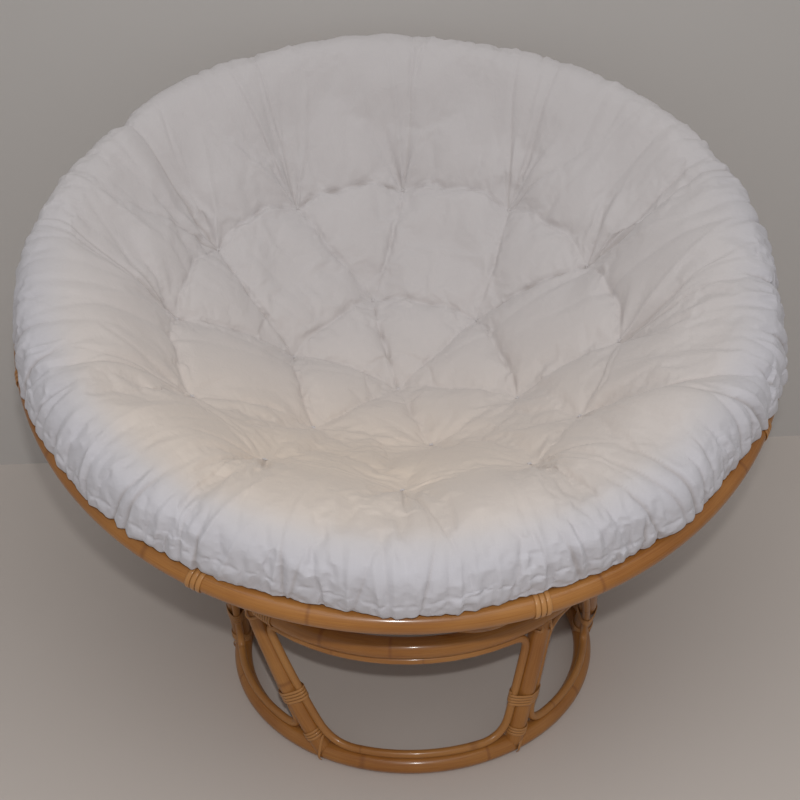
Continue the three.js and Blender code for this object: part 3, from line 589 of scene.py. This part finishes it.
# Bowl ribs: eight thinner poles bent from rim to rim, each in a plane beside the middle. One half
# of each runs under its neighbours and the other half over them, so the set locks like a basket.
RIB_ACROSS = 0.016
RIB_COUNT = 8
RIB_END_SPREAD = 0.050
RIB_STEP_LENGTH = 0.130
RIB_CLOSING_SHARE = 1.25
RIB_STEPS = 72
rim_sphere = hypot(RIM_RADIUS, SPHERE_CENTRE_RISE)
outer_rib = rim_sphere + (RIB_ACROSS + POLE_GAP) / 2
inner_rib = rim_sphere - (RIB_ACROSS + POLE_GAP) / 2
rib_end = pi * (RIB_COUNT / 2 - 1) / RIB_COUNT - RIB_END_SPREAD / 2 / RIM_RADIUS
rib_offset = RIM_RADIUS * cos(rib_end)
rib_half_span = RIM_RADIUS * sin(rib_end)


def eased(low, high, value):
    """A smooth rise from 0 at low to 1 at high."""
    t = np.clip((value - low) / (high - low), 0, 1)
    return t * t * (3 - 2 * t)


def rib_radius(along):
    stepped = eased(-RIB_STEP_LENGTH / 2, RIB_STEP_LENGTH / 2, along)
    step = inner_rib + (outer_rib - inner_rib) * stepped
    closing = eased(rib_offset * RIB_CLOSING_SHARE, rib_half_span, abs(along))
    return step + (rim_sphere - step) * closing


for index in range(RIB_COUNT):
    facing = RIM_TURN + 2 * pi * (index - RIB_COUNT / 2 + 0.5) / RIB_COUNT
    onward = Vector((cos(facing), sin(facing), 0))
    points = []
    for i in range(RIB_STEPS + 1):
        sweep = asin(rib_half_span / rim_sphere) * (2 * i / RIB_STEPS - 1)
        along = rim_sphere * sin(sweep)
        point = azimuth_way(facing) * rib_offset + onward * along
        point.z = -sqrt(rib_radius(along) ** 2 - point.length_squared)
        points.append(point)
    outs = [point.normalized() for point in points]
    mesh = bend_pole(points, outs, RIB_ACROSS, sides=16, start=index * 1.61)
    name = f"rib_{index + 1}"
    piece_from(mesh, name, pole_skin, "bowl", f"bowl_{name}", matrix=bowl_place)


# Bottom ring: a bent ring laid inside the bowl where the ribs cross. It spreads the sitter's
# weight over all the ribs, and the cushion hides it from above.
BOTTOM_RING_ACROSS = 0.018
bottom_radius = rib_offset / cos(pi / RIB_COUNT)
bottom_sphere = inner_rib - (RIB_ACROSS + BOTTOM_RING_ACROSS) / 2 - POLE_GAP
bottom_drop = sqrt(bottom_sphere ** 2 - bottom_radius ** 2)
mesh = ring_pole(bottom_radius, -bottom_drop, BOTTOM_RING_ACROSS, RING_STEPS, sides=16)
piece_from(mesh, "bottom_ring", pole_skin, "bowl", "bowl_bottom_ring", matrix=bowl_place)


# Rim wraps: a broader strip of the same peel, wound on wet and dried hard. It makes three turns at
# each place where two rib ends meet the rim.
RIM_STRIP_WIDTH = 0.0066
RIM_STRIP_PITCH = 0.0071
RIM_WRAP_TURNS = 3
for index in range(RIB_COUNT):
    winding = wound(
        along_ring(RIM_RADIUS, -SPHERE_CENTRE_RISE, RIM_TURN + 2 * pi * index / RIB_COUNT),
        [(0, 0, RIM_ACROSS / 2)], RIM_WRAP_TURNS, RIM_STRIP_PITCH, pi, corners=8)
    lash(f"rim_wrap_{index + 1}", winding, "bowl", f"rim_binding_{index + 1}", bowl_place,
         width=RIM_STRIP_WIDTH, start=index * 0.5)


# Cushion: a white cotton cover, stuffed with fibre and sewn through at nineteen tufts, laid loose
# in the bowl. Its section is spun, and the tufts, creases and the sitter's hollow are pressed in.
ROLL_RADIUS = 0.062
ROLL_CENTRE = RIM_RADIUS - 0.059
ROLL_RISE = 0.042
LIP_OUT = 0.006
TUFT_INNER = 0.175
TUFT_OUTER = 0.332
CENTRE_PAD = 0.173
INNER_PAD = 0.189
OUTER_PAD = 0.220
TUFT_DENT = 0.028
TUFT_REACH = 0.032
CREASE_DENT = 0.006
CREASE_REACH = 0.018
FOLD_REACH = 0.020
OUTER_BOW = 0.012
SPOKE_BOWS = (-0.004, 0.005)
CLIMB_EASE = 1.45
SAT_FLAT = 0.76
SAT_DROP = 0.010
BACK_DROP = 0.010
CUSHION_SLUMP = 0.0365
CUSHION_TURN = radians(-7.2)
CUSHION_STEPS = 180
OUTER_COUNT = 12
INNER_COUNT = 6
INNER_LAG = 0.25
SWELL = 0.006
ROLL_SWELL = 0.002
VOXEL = 0.0075
SAT_FROM = -0.02
SAT_FULL = 0.18
FACE_CLEAR = 0.06
FACE_CURVE = 1.25
LINE_ROUND = 0.0015
FACE_STEPS = 48
ROLL_STEPS = 14
RIM_GAP_STEPS = 12
BELLY_STEPS = 20
UNDER_STEPS = 12
TUFTS_ASIDE = {  # tuft: how far it is sewn off the even rings, to the left and to the back
    1: (0.008, 0.015), 2: (0.011, -0.016), 5: (0.001, -0.011), 7: (0.009, 0), 8: (0.012, 0.004),
    9: (-0.033, -0.006), 10: (-0.011, -0.032), 11: (0.003, -0.024), 12: (0.009, -0.006),
    14: (-0.011, -0.006), 15: (-0.006, -0.003), 18: (-0.007, 0.008)}
LONG_FOLDS = (  # tuft, the way the fold runs from it in degrees, depth
    (7, 3, 0.005), (8, 24, 0.006), (9, 60, 0.017), (10, 80, 0.005), (11, 108, 0.007),
    (12, 144, 0.004), (13, 172, 0.004), (14, 203, 0.004), (15, 231, 0.014), (16, 258, 0.006),
    (17, 290, 0.005), (18, 324, 0.005))
EDGE_SWELLS = (  # place round the edge and spread in degrees, how far out
    (-42, 12, 0.004), (-22, 9, -0.006), (-3, 9, 0.008), (9, 8, -0.008), (24, 9, -0.005),
    (34, 6, 0.006), (45, 6, -0.006), (62, 11, 0.009), (90, 18, -0.003), (-66, 22, 0.006),
    (-116, 16, -0.014), (-132, 12, -0.004), (-200, 12, -0.010), (-163, 8, -0.008))
PUFFS = ((0.43, 47, 0.045, 0.015), (0.30, 10, 0.08, 0.004))  # radius, degrees, reach, height
SEAM_UP = 0.009
SIDE_FOLD_SHARE = 0.85
rib_inside = inner_rib - RIB_ACROSS / 2 - POLE_GAP
rim_clear = RIM_ACROSS / 2 + STRIP_THICK + 2 * POLE_GAP + 0.001
under_height = SPHERE_CENTRE_RISE - bottom_drop + BOTTOM_RING_ACROSS / 2 + POLE_GAP
cushion_place = bowl_place @ Matrix.Translation((0, 0, -SPHERE_CENTRE_RISE))


def pad_depth(radius, pad):
    return sqrt(rib_inside ** 2 - radius ** 2) - SPHERE_CENTRE_RISE - pad


def cushion_profile():
    """Half section from the middle of the face, over the roll and back under to the middle."""
    middle = pad_depth(0, CENTRE_PAD)
    inner = pad_depth(TUFT_INNER, INNER_PAD)
    outer = pad_depth(TUFT_OUTER, OUTER_PAD)
    roll = ROLL_RADIUS - ROLL_SWELL
    profile = []
    for i in range(FACE_STEPS + 1):
        radius = ROLL_CENTRE * i / FACE_STEPS
        if radius < TUFT_INNER:
            depth = middle + (inner - middle) * (radius / TUFT_INNER) ** 2
        else:
            share = min((radius - TUFT_INNER) / (TUFT_OUTER - TUFT_INNER), 1)
            depth = inner + (outer - inner) * share ** FACE_CURVE
        outside = max(radius - TUFT_OUTER, 0) / (ROLL_CENTRE - TUFT_OUTER)
        climb = sin(outside ** CLIMB_EASE * pi / 2)
        body = TUFT_DENT - SWELL - depth
        profile.append((radius, body + (ROLL_RISE + roll - body) * climb))
    for i in range(1, ROLL_STEPS + 1):
        way = radians(90 - i * 8)
        lip = LIP_OUT * eased(radians(40), radians(-20), way)
        profile.append((ROLL_CENTRE + lip + roll * cos(way), ROLL_RISE + roll * sin(way)))
    for i in range(RIM_GAP_STEPS + 1):
        way = radians(76 + i * 12)
        profile.append((RIM_RADIUS + rim_clear * cos(way), rim_clear * sin(way)))
    low = asin((RIM_RADIUS - rim_clear * 1.3) / rib_inside)
    flat = acos((SPHERE_CENTRE_RISE - under_height) / rib_inside)
    for i in range(BELLY_STEPS + 1):
        way = low + (flat - low) * i / BELLY_STEPS
        profile.append((rib_inside * sin(way), SPHERE_CENTRE_RISE - rib_inside * cos(way)))
    edge = profile[-1][0]
    profile += [
        (edge * (1 - i / UNDER_STEPS), under_height) for i in range(1, UNDER_STEPS + 1)]
    return profile


def plan(radius, azimuth):
    return np.array((radius * sin(azimuth), -radius * cos(azimuth)))


def bump(distance, reach):
    return np.exp(-(distance / reach) ** 2)


def valley(distance, reach):
    """Depth of a fold that is sharp along its line and rounds over on both sides."""
    return np.exp(-(np.sqrt(distance ** 2 + LINE_ROUND ** 2) - LINE_ROUND) / reach)


def sat_share(forward):
    """How much a place has been sat on, by how far it lies in front of the middle."""
    return eased(SAT_FROM, SAT_FULL, forward)


def to_line(flat, start, end, bow=0.0):
    """Distance in plan to a line that may bow to its right, and the share of the way along it."""
    run = end - start
    length = hypot(*run)
    share = np.clip((flat - start) @ run / length ** 2, 0, 1)
    drift = bow * np.sin(share * pi) * (1 + 0.25 * np.sin(share * 11 + bow * 900))
    across = np.array((run[1], -run[0])) / length
    near = start + share[:, None] * run + drift[:, None] * across
    return np.hypot(*(flat - near).T), share


class Cover:
    """Where each point of the cover lies: in plan, round the roll, and above ribs and rim."""

    def __init__(self, places):
        self.flat = places[:, :2]
        self.height = places[:, 2]
        self.radius = np.hypot(*self.flat.T)
        self.azimuth = np.arctan2(self.flat[:, 0], -self.flat[:, 1])
        sphere = rib_inside ** 2 - np.minimum(self.radius, rib_inside * 0.999) ** 2
        self.above_ribs = np.maximum(
            self.height - SPHERE_CENTRE_RISE + np.sqrt(sphere), self.height * 3)
        self.off_rim = np.hypot(self.radius - RIM_RADIUS, self.height)
        round_roll = np.arctan2(self.height - ROLL_RISE, self.radius - ROLL_CENTRE) * ROLL_RADIUS
        self.from_seam = np.where(
            self.radius > ROLL_CENTRE, round_roll,
            ROLL_RADIUS * pi / 2 + ROLL_CENTRE - self.radius) - SEAM_UP
        self.free = eased(0.015, 0.07, self.above_ribs)
        self.free *= eased(rim_clear, rim_clear + 0.012, self.off_rim)
        self.free *= self.height > under_height + 0.02
        self.free[(self.radius > RIM_RADIUS - rim_clear) & (self.height < 0)] = 0
        self.sat = sat_share(-self.flat[:, 1])
        self.to_tuft = np.min([np.hypot(*(self.flat - tuft).T) for tuft in tufts], axis=0)
        self.to_crease = np.min([to_line(self.flat, *line)[0] for line in creases], axis=0)
        self.to_fold = np.min(
            [to_line(self.flat, *line[:3])[0] for line in folds + side_folds], axis=0)


def baked(piece):
    """Replaces the piece's mesh by what its modifiers make of it."""
    graph = bpy.context.evaluated_depsgraph_get()
    result = bpy.data.meshes.new_from_object(piece.evaluated_get(graph))
    piece.modifiers.clear()
    piece.data = result


def mesh_places(piece, values="co"):
    flat_list = np.empty(len(piece.data.vertices) * 3)
    piece.data.vertices.foreach_get(values, flat_list)
    return flat_list.reshape(-1, 3)


def evened_normals(piece, rounds):
    """The normals at a mesh's points, averaged with their neighbours' a number of times."""
    ends = np.empty(len(piece.data.edges) * 2, dtype=np.int32)
    piece.data.edges.foreach_get("vertices", ends)
    ends = ends.reshape(-1, 2)
    others = ends[:, ::-1].ravel()
    evened = mesh_places(piece, "normal")
    for _ in range(rounds):
        evened = evened + np.stack([
            np.bincount(ends.ravel(), evened[others, axis], len(evened)) for axis in range(3)], 1)
        evened /= np.linalg.norm(evened, axis=1).clip(1e-9)[:, None]
    return evened


def move_to(piece, places):
    piece.data.vertices.foreach_set("co", places.ravel())
    piece.data.update()


tufts = [np.zeros(2)]
for count, radius, lag in ((INNER_COUNT, TUFT_INNER, INNER_LAG), (OUTER_COUNT, TUFT_OUTER, 0)):
    tufts += [plan(radius, CUSHION_TURN + 2 * pi * (i + lag) / count) for i in range(count)]
for i, aside in TUFTS_ASIDE.items():
    tufts[i] = tufts[i] + np.array(aside)
inner_tufts, outer_tufts = tufts[1:INNER_COUNT + 1], tufts[INNER_COUNT + 1:]
creases = [
    (tuft, outer_tufts[(i + 1) % OUTER_COUNT], OUTER_BOW) for i, tuft in enumerate(outer_tufts)]
folds = [
    (tufts[i], plan(RIM_RADIUS, radians(way)), 0.006, depth) for i, way, depth in LONG_FOLDS]
side_folds = []
for i, (start, end, bow, depth) in enumerate(folds):
    across = np.array((end[1], -end[0])) / RIM_RADIUS * (-1) ** i
    aside = across * (0.03 + 0.02 * (i % 3))
    side_folds.append((start, start + (end - start) * SIDE_FOLD_SHARE + aside, -bow))
for i, tuft in enumerate(inner_tufts):
    side = SPOKE_BOWS[i % 2]
    creases += [
        (tuft, inner_tufts[(i + 1) % INNER_COUNT], OUTER_BOW / 2), (tuft, tufts[0], side),
        (tuft, outer_tufts[2 * i], side), (tuft, outer_tufts[(2 * i + 1) % OUTER_COUNT], -side)]

mesh = bmesh.new()
chain = [mesh.verts.new((0, -radius, height)) for radius, height in cushion_profile()]
edges = [mesh.edges.new(pair) for pair in zip(chain, chain[1:])]
bmesh.ops.spin(
    mesh, geom=chain + edges, cent=(0, 0, 0), axis=(0, 0, 1), angle=2 * pi,
    steps=CUSHION_STEPS, use_merge=True)
bmesh.ops.remove_doubles(mesh, verts=mesh.verts, dist=0.0002)
bmesh.ops.recalc_face_normals(mesh, faces=mesh.faces)
cushion = object_from(mesh, "cushion_cover")
remesh = cushion.modifiers.new("even", "REMESH")
remesh.mode = "VOXEL"
remesh.voxel_size = VOXEL
baked(cushion)

places = mesh_places(cushion)
cover = Cover(places)
outside = np.clip((cover.radius - TUFT_OUTER) / (ROLL_CENTRE - TUFT_OUTER), 0, 1)
pinch = np.maximum(
    TUFT_DENT * valley(cover.to_tuft, TUFT_REACH),
    CREASE_DENT * valley(cover.to_crease, CREASE_REACH))
pinch += cover.sat * SAT_FLAT * ((1 - outside) * TUFT_DENT - pinch)
puffed = sum(
    up * bump(np.hypot(*(cover.flat - plan(radius, radians(facing))).T), reach)
    for radius, facing, reach, up in PUFFS)
slump = CUSHION_SLUMP * np.cos(cover.azimuth) * np.minimum(cover.radius / TUFT_OUTER, 1)
slump *= 1 - np.sin(outside ** CLIMB_EASE * pi / 2)
places[:, 2] += np.where(cover.radius < ROLL_CENTRE, cover.free * (slump - pinch), 0)
places[:, 2] += cover.free * puffed
upper = outside * eased(0, ROLL_RISE + ROLL_RADIUS, cover.height)
places[:, 2] -= (SAT_DROP * cover.sat + BACK_DROP * eased(0.1, 0.4, cover.flat[:, 1])) * upper
push = np.zeros(len(places))
for facing, spread, out in EDGE_SWELLS:
    off = (cover.azimuth - radians(facing) + pi) % (2 * pi) - pi
    push += out * bump(off, radians(spread))
push *= eased(ROLL_CENTRE, ROLL_CENTRE + ROLL_RADIUS, cover.radius)
push *= eased(0.012, 0.03, cover.height)
places[:, :2] *= 1 + (push / cover.radius.clip(0.1))[:, None]
move_to(cushion, places)


# Stuffing: the cover is filled tightly, and less so at the back. It is blown up as cloth, held at
# its stitches and underneath, and a little along the creases and the edge seam. It is cut too
# large, most of all by the seam, so that it puckers.
PRESSURE = 3.0
BACK_SLACK = 0.75
LARGER_CUT = -0.03
GATHERED_CUT = -0.13
GATHER_REACH = 0.07
CREASE_HOLD = 0.3
SEAM_HOLD = 0.35
STITCH_NEAR = 0.003
STITCH_FAR = 0.008
TUFT_NEAR = 0.006
TUFT_FAR = 0.014
BACK_FROM = -0.10
BACK_FULL = 0.15
FRAMES = 20
MOST_MOVE = 0.024

before = mesh_places(cushion)
cover = Cover(before)
sewn = CREASE_HOLD * (1 - 0.8 * cover.sat) * eased(STITCH_FAR, STITCH_NEAR, cover.to_crease)
held = np.maximum(eased(TUFT_FAR, TUFT_NEAR, cover.to_tuft), sewn)
held *= cover.above_ribs > FACE_CLEAR
held = np.maximum(held, eased(0.3, 0.0, cover.free))
seam = SEAM_HOLD * eased(STITCH_FAR, STITCH_NEAR, np.abs(cover.from_seam))
held = np.maximum(held, seam)
gathered = bump(cover.from_seam, GATHER_REACH) * cover.free
slack = eased(BACK_FROM, BACK_FULL, cover.flat[:, 1])
slack *= eased(0.02, -0.06, cover.radius - ROLL_CENTRE)
stuffed = 1 - BACK_SLACK * slack
for name, weights in (("held", held), ("gathered", gathered), ("stuffed", stuffed)):
    group = cushion.vertex_groups.new(name=name)
    steps = np.round(weights, 1)
    for weight in np.unique(steps):
        group.add(np.flatnonzero(steps == weight).tolist(), float(weight), "REPLACE")
cloth = cushion.modifiers.new("stuffing", "CLOTH")
behaviour = dict(
    vertex_group_mass="held", vertex_group_shrink="gathered", vertex_group_pressure="stuffed",
    quality=4, mass=0.2, tension_stiffness=20, compression_stiffness=8, shear_stiffness=5,
    bending_stiffness=0.1, use_pressure=True, uniform_pressure_force=PRESSURE,
    shrink_min=LARGER_CUT, shrink_max=GATHERED_CUT)
for setting, value in behaviour.items():
    setattr(cloth.settings, setting, value)
cloth.settings.effector_weights.gravity = 0
cloth.collision_settings.use_collision = False
for frame_number in range(1, FRAMES + 1):
    scene.frame_set(frame_number)
baked(cushion)
scene.frame_set(1)
moves = mesh_places(cushion) - before
lengths = np.linalg.norm(moves, axis=1).clip(1e-9)
kept = MOST_MOVE * np.tanh(lengths / MOST_MOVE)
move_to(cushion, before + moves * (kept / lengths)[:, None])


# Fine folds: thin bowed creases between the tufts, short folds that fan out from each stitch, and
# gathers of many lengths along the edge seam, where the round covers are drawn in and sewn.
SEED = 11
CREASE_LINE = 0.0055
FOLD_LINE = 0.0050
FAN_LINE = 0.0058
GATHER_LINE = 0.0060
RIDGE_LINE = 0.0042
LOBE_LINE = 0.0055
PLEAT_LINE = 0.0060
PLEAT_PEAK = 0.11
SEAM_LINE = 0.0018
SEAM_REACH = 0.002
SEAM_WANDER = 0.0022
LINE_REACH = 0.0020
FAN_REACH = 0.0030
# How dark the painted shade in the folds gets, and over which fold depths it grows.
PAINTED_FOLD_SHADE_MOST = 0.50
SHADE_FROM = 0.0022
SHADE_FULL = 0.0060
FINE_BESIDE = 0.009
FINE_BY_SEAM = 0.075
EVENING_ROUNDS = 40
PAST_END = 0.03
RAISED_SHARE = 0.35
OUTER_SPOKES = 6
INNER_SPOKES = 5
SPOKE_APART = 0.30
OUTER_FANS = (0.06, 0.22)
INNER_FANS = (0.02, 0.05)


def refine(piece, chosen):
    """Splits the faces between chosen points in four and evens their points out."""
    mesh = bmesh.new()
    mesh.from_mesh(piece.data)
    edges = [
        edge for edge in mesh.edges
        if chosen[edge.verts[0].index] and chosen[edge.verts[1].index]]
    bmesh.ops.subdivide_edges(mesh, edges=edges, cuts=1, use_grid_fill=True)
    mesh.verts.index_update()
    count = len(chosen)
    inner = [vert for vert in mesh.verts if vert.index >= count or chosen[vert.index]]
    bmesh.ops.smooth_vert(
        mesh, verts=inner, factor=0.5, use_axis_x=True, use_axis_y=True, use_axis_z=True)
    mesh.to_mesh(piece.data)
    mesh.free()


refine(cushion, Cover(mesh_places(cushion)).free > 0.01)
cover = Cover(mesh_places(cushion))
refine(cushion, (cover.free > 0.05) & (
    (cover.to_crease < FINE_BESIDE) | (cover.to_tuft < 3 * FINE_BESIDE)
    | (cover.to_fold < FINE_BESIDE) | (np.abs(cover.from_seam) < FINE_BY_SEAM)))

chance = np.random.default_rng(SEED)
places = mesh_places(cushion)
cover = Cover(places)
pressed, raised, lobes = np.zeros((3, len(places)))


def press(field, line, reach, weight):
    """Deepens a field along a line, by a weight that follows the share of the way along it."""
    start, end, bow = line
    within = hypot(*(end - start)) / 2 + 8 * reach
    near = np.flatnonzero(np.hypot(*(cover.flat - (start + end) / 2).T) < within)
    distance, share = to_line(cover.flat[near], *line)
    field[near] = np.maximum(field[near], weight(share) * valley(distance, reach))


for line in creases:
    first, pace = chance.uniform(0, 6), chance.uniform(8, 15)
    sat = float(sat_share(-(line[0] + line[1])[1] / 2))
    most = CREASE_LINE * chance.uniform(0.55, 1.0) * (1 - 0.75 * sat)
    press(pressed, line, LINE_REACH, lambda share: most * (
        0.45 + 0.55 * np.cos(share * pace + first) ** 2))
deep_fold = np.zeros(len(places))
for start, end, bow, deep in folds:
    most = FOLD_LINE * (0.6 + 0.4 * min(deep / 0.010, 1))
    press(pressed, (start, end, bow), FAN_REACH, lambda share: most * (1 - share) ** 0.3)
    off_line, share = to_line(cover.flat, start, end, bow)
    off_line = off_line + PAST_END * (share >= 1)
    deep_fold = np.maximum(deep_fold, deep * bump(off_line, FOLD_REACH) * eased(0, 0.15, share) * (
        1 - 0.5 * share))
deep_fold *= cover.above_ribs > FACE_CLEAR
for line in side_folds:
    most = FOLD_LINE * chance.uniform(0.5, 0.9)
    press(pressed, line, FAN_REACH, lambda share: most * (1 - share) ** 0.5)
for i, tuft in enumerate(tufts):
    outer = i > INNER_COUNT
    spokes = OUTER_SPOKES if outer else INNER_SPOKES
    facing = atan2(tuft[0], -tuft[1])
    for k in range(spokes):
        if outer:
            way = facing + (k - 2.5) * SPOKE_APART + chance.uniform(-0.12, 0.12)
            length = chance.uniform(*OUTER_FANS)
        else:
            way = 2 * pi * k / spokes + chance.uniform(-0.3, 0.3)
            length = chance.uniform(*INNER_FANS)
        line = (tuft, tuft + plan(length, way), chance.uniform(-0.006, 0.006))
        most = FAN_LINE * chance.uniform(0.35, 1.0) * (1 if outer else 0.6)
        field = raised if chance.random() < RAISED_SHARE else pressed
        press(field, line, FAN_REACH, lambda share: most * (1 - share) ** 0.7)


def gather(field, count, most, reach, longest, sides=False):
    """Folds across the edge seam, spaced unevenly round it, longest in front or at both sides."""
    spots = (np.arange(count) + chance.uniform(-0.38, 0.38, count)) / count * 2 * pi - pi
    weights = most * chance.uniform(0.2, 1.0, count)
    share = np.sin(spots) ** 2 if sides else np.sqrt(0.5 + 0.5 * np.cos(spots))
    weights *= share if sides else 1
    lengths = 0.03 + chance.uniform(0, 1, count) ** 1.6 * (0.03 + longest * share)
    slants = chance.uniform(-0.5, 0.5, count)
    nearest = np.searchsorted(spots, cover.azimuth)
    for step in (-2, -1, 0, 1):
        k = (nearest + step) % count
        apart = cover.azimuth - spots[k] - slants[k] * cover.from_seam
        apart = np.abs((apart + pi) % (2 * pi) - pi) * cover.radius
        from_peak = cover.from_seam - (PLEAT_PEAK if sides else 0)
        stretch = np.where(from_peak > 0, lengths[k], 0.05)
        weight = weights[k] * bump(from_peak, stretch)
        field[:] = np.maximum(field, weight * valley(apart, reach))


gather(pressed, 132, GATHER_LINE, 0.0040, 0.15)
gather(raised, 110, RIDGE_LINE, 0.0040, 0.18)
gather(lobes, 46, LOBE_LINE, 0.0130, 0.05)
gather(lobes, 64, PLEAT_LINE, 0.0075, 0.30, sides=True)
on_edge = cover.radius > RIM_RADIUS - 0.03
wander = SEAM_WANDER * (np.sin(cover.azimuth * 9) + np.sin(cover.azimuth * 23 + 1)
                        + 0.6 * np.sin(cover.azimuth * 61 + 2))
seam = valley(np.abs(cover.from_seam - wander), SEAM_REACH)
pressed = np.maximum(pressed, SEAM_LINE * seam * on_edge)
loose = eased(0.02, 0.3, cover.free)
# Painted shade: the cloth is painted darker where a fold is pressed deep into it.
painted_fold_shade_weight = PAINTED_FOLD_SHADE_MOST * eased(SHADE_FROM, SHADE_FULL, pressed) * loose
inward = np.maximum(loose, eased(0.0, 0.01, cover.height))
normals = mesh_places(cushion, "normal")
relief = raised * loose - (pressed + lobes) * inward
even_ways = evened_normals(cushion, EVENING_ROUNDS)
move_to(cushion, places + normals * relief[:, None] - even_ways * (deep_fold * loose)[:, None])


# Cotton: a bleached plain weave, soft and matt. Its colour holds painted light: a warm painted
# bounce light on the seat, a cool painted shade at the edge and painted shade in its folds.
# The cloth crumples finely, and a faint fuzz lightens it.
COTTON_PAINTED_EDGE_SHADE = (0.548, 0.530, 0.560, 1)
COTTON_TONE = (0.583, 0.548, 0.545, 1)
COTTON_PAINTED_WARM_LIGHT = (0.692, 0.588, 0.492, 1)
COTTON_PAINTED_FOLD_SHADE = (0.30, 0.25, 0.22, 1)
TONE_AT = 0.35
SEAT_RADIUS = 0.28
SEAT_FACING = radians(-20)
SEAT_WIDE = 0.38
SEAT_DEEP = 0.25
cotton, tree, shader = new_material("cotton")
place = node(tree, "TexCoord").outputs["Object"]
# Painted light: cool painted shade at the edge, own tone, warm painted bounce light on the seat
tint = node(tree, "ValToRGB", node(tree, "Attribute", attribute_name="painted_light_tint").outputs["Fac"])
tint.color_ramp.elements[0].color = COTTON_PAINTED_EDGE_SHADE
tint.color_ramp.elements[1].color = COTTON_PAINTED_WARM_LIGHT
tint.color_ramp.elements.new(TONE_AT).color = COTTON_TONE
mottle = node(tree, "TexNoise", place, Scale=9.0, Detail=3.0)
patch = node(tree, "MapRange", mottle, To_Min=0.94, To_Max=1.04)
toned = node(tree, "Mix", data_type="RGBA", blend_type="MULTIPLY", Factor=1, A=tint, B=patch)
# Painted shade in the folds: the tone is mixed towards a dark grey there.
painted_fold_shade = node(tree, "Attribute", attribute_name="painted_fold_shade").outputs["Fac"]
shaded = node(tree, "Mix", data_type="RGBA", Factor=painted_fold_shade, A=toned, B=COTTON_PAINTED_FOLD_SHADE)
crumple = node(tree, "TexNoise", place, Scale=34.0, Detail=4.0, Roughness=0.6, Distortion=0.7)
weave = node(tree, "TexNoise", place, Scale=1400.0, Detail=1.0)
soft = node(tree, "Bump", Strength=0.55, Distance=0.0022, Height=crumple)
fine = node(tree, "Bump", Strength=0.25, Distance=0.0003, Height=weave, Normal=soft)
feed(shader, Base_Color=shaded, Normal=fine, Roughness=0.9, Sheen_Weight=0.2, Sheen_Roughness=0.6)

# Painted warm bounce light on the seat, fading to painted cool shade at the front and side edge.
seat = plan(SEAT_RADIUS, SEAT_FACING)
painted_light_tint = np.exp(-((cover.flat - seat) ** 2 @ np.array((1 / SEAT_WIDE ** 2, 1 / SEAT_DEEP ** 2))))
painted_light_tint = TONE_AT + (1 - TONE_AT) * painted_light_tint
painted_light_tint *= 1 - eased(0.12, 0.03, cover.from_seam) * eased(-0.25, 0.05, -cover.flat[:, 1])
cushion.data.attributes.new("painted_light_tint", "FLOAT", "POINT").data.foreach_set("value", painted_light_tint)
cushion.data.attributes.new("painted_fold_shade", "FLOAT", "POINT").data.foreach_set("value", painted_fold_shade_weight)
stitch_spots = []
for tuft in tufts:
    above = np.where(cover.above_ribs > FACE_CLEAR, np.hypot(*(cover.flat - tuft).T), 1)
    nearest = int(np.argmin(above))
    stitch_spots.append((Vector(cushion.data.vertices[nearest].co), Vector(normals[nearest])))
cushion.data.transform(cushion_place)
cushion.data.materials.append(cotton)
cushion.data.polygons.foreach_set("use_smooth", [True] * len(cushion.data.polygons))
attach(cushion, "cushion")
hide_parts("cushion")


# Tuft stitches: two short strands of thick white cotton thread cross over each tuft. They go
# through the filling to the underside, and pull the face down.
STRAND_LONG = 0.009
STRAND_THICK = 0.0022
STRAND_LIFT = 0.0012


def neutral(piece):
    """Gives a small cotton piece the cloth's own middle tone, with no painted warm light or edge
    shade.
    """
    tones = piece.data.attributes.new("painted_light_tint", "FLOAT", "POINT").data
    tones.foreach_set("value", [TONE_AT] * len(piece.data.vertices))


mesh = bmesh.new()
for spot, normal in stitch_spots:
    facing = normal.to_track_quat("Z", "Y").to_matrix().to_4x4()
    for turned in (0.6, 2.1):
        shape = Matrix.Diagonal((STRAND_LONG / 2, STRAND_THICK / 2, STRAND_THICK / 2, 1))
        bmesh.ops.create_uvsphere(
            mesh, u_segments=12, v_segments=8, radius=1,
            matrix=Matrix.Translation(spot + normal * STRAND_LIFT) @ facing
            @ Matrix.Rotation(turned, 4, "Z") @ shape)
stitches = piece_from(
    mesh, "tuft_stitches", cotton, "cushion", slot="cushion_fabric", matrix=cushion_place)
neutral(stitches)


# Tab: a short plain ribbon of the cover's own cotton, folded over and caught in the edge seam at
# the back of the cushion.
TAB_AZIMUTH = radians(-145.5)
TAB_WIDE = 0.024
TAB_LONG = 0.020
TAB_THICK = 0.0008
TAB_WAVE = 0.002
TAB_LEAN = 1.2
mesh = bmesh.new()
bmesh.ops.create_grid(mesh, x_segments=8, y_segments=10, size=0.5)
bmesh.ops.scale(mesh, vec=(TAB_WIDE, TAB_LONG, 1), verts=mesh.verts)
for vert in mesh.verts:
    vert.co.z = TAB_WAVE * sin(vert.co.x / TAB_WIDE * 5) * (0.5 + vert.co.y / TAB_LONG)
bmesh.ops.solidify(mesh, geom=mesh.faces[:], thickness=TAB_THICK)
stand = azimuth_way(TAB_AZIMUTH)
spot = stand * (ROLL_CENTRE + ROLL_RADIUS + 0.005) + Vector((0, 0, ROLL_RISE + 0.012))
lie = Matrix((
    stand.cross(Vector((0, 0, 1))), (stand + Vector((0, 0, TAB_LEAN))).normalized(),
    (stand * TAB_LEAN - Vector((0, 0, 1))).normalized())).transposed().to_4x4()
tab = piece_from(
    mesh, "blank_tab", cotton, "cushion", slot="cushion_fabric",
    matrix=cushion_place @ Matrix.Translation(spot) @ lie)
neutral(tab)
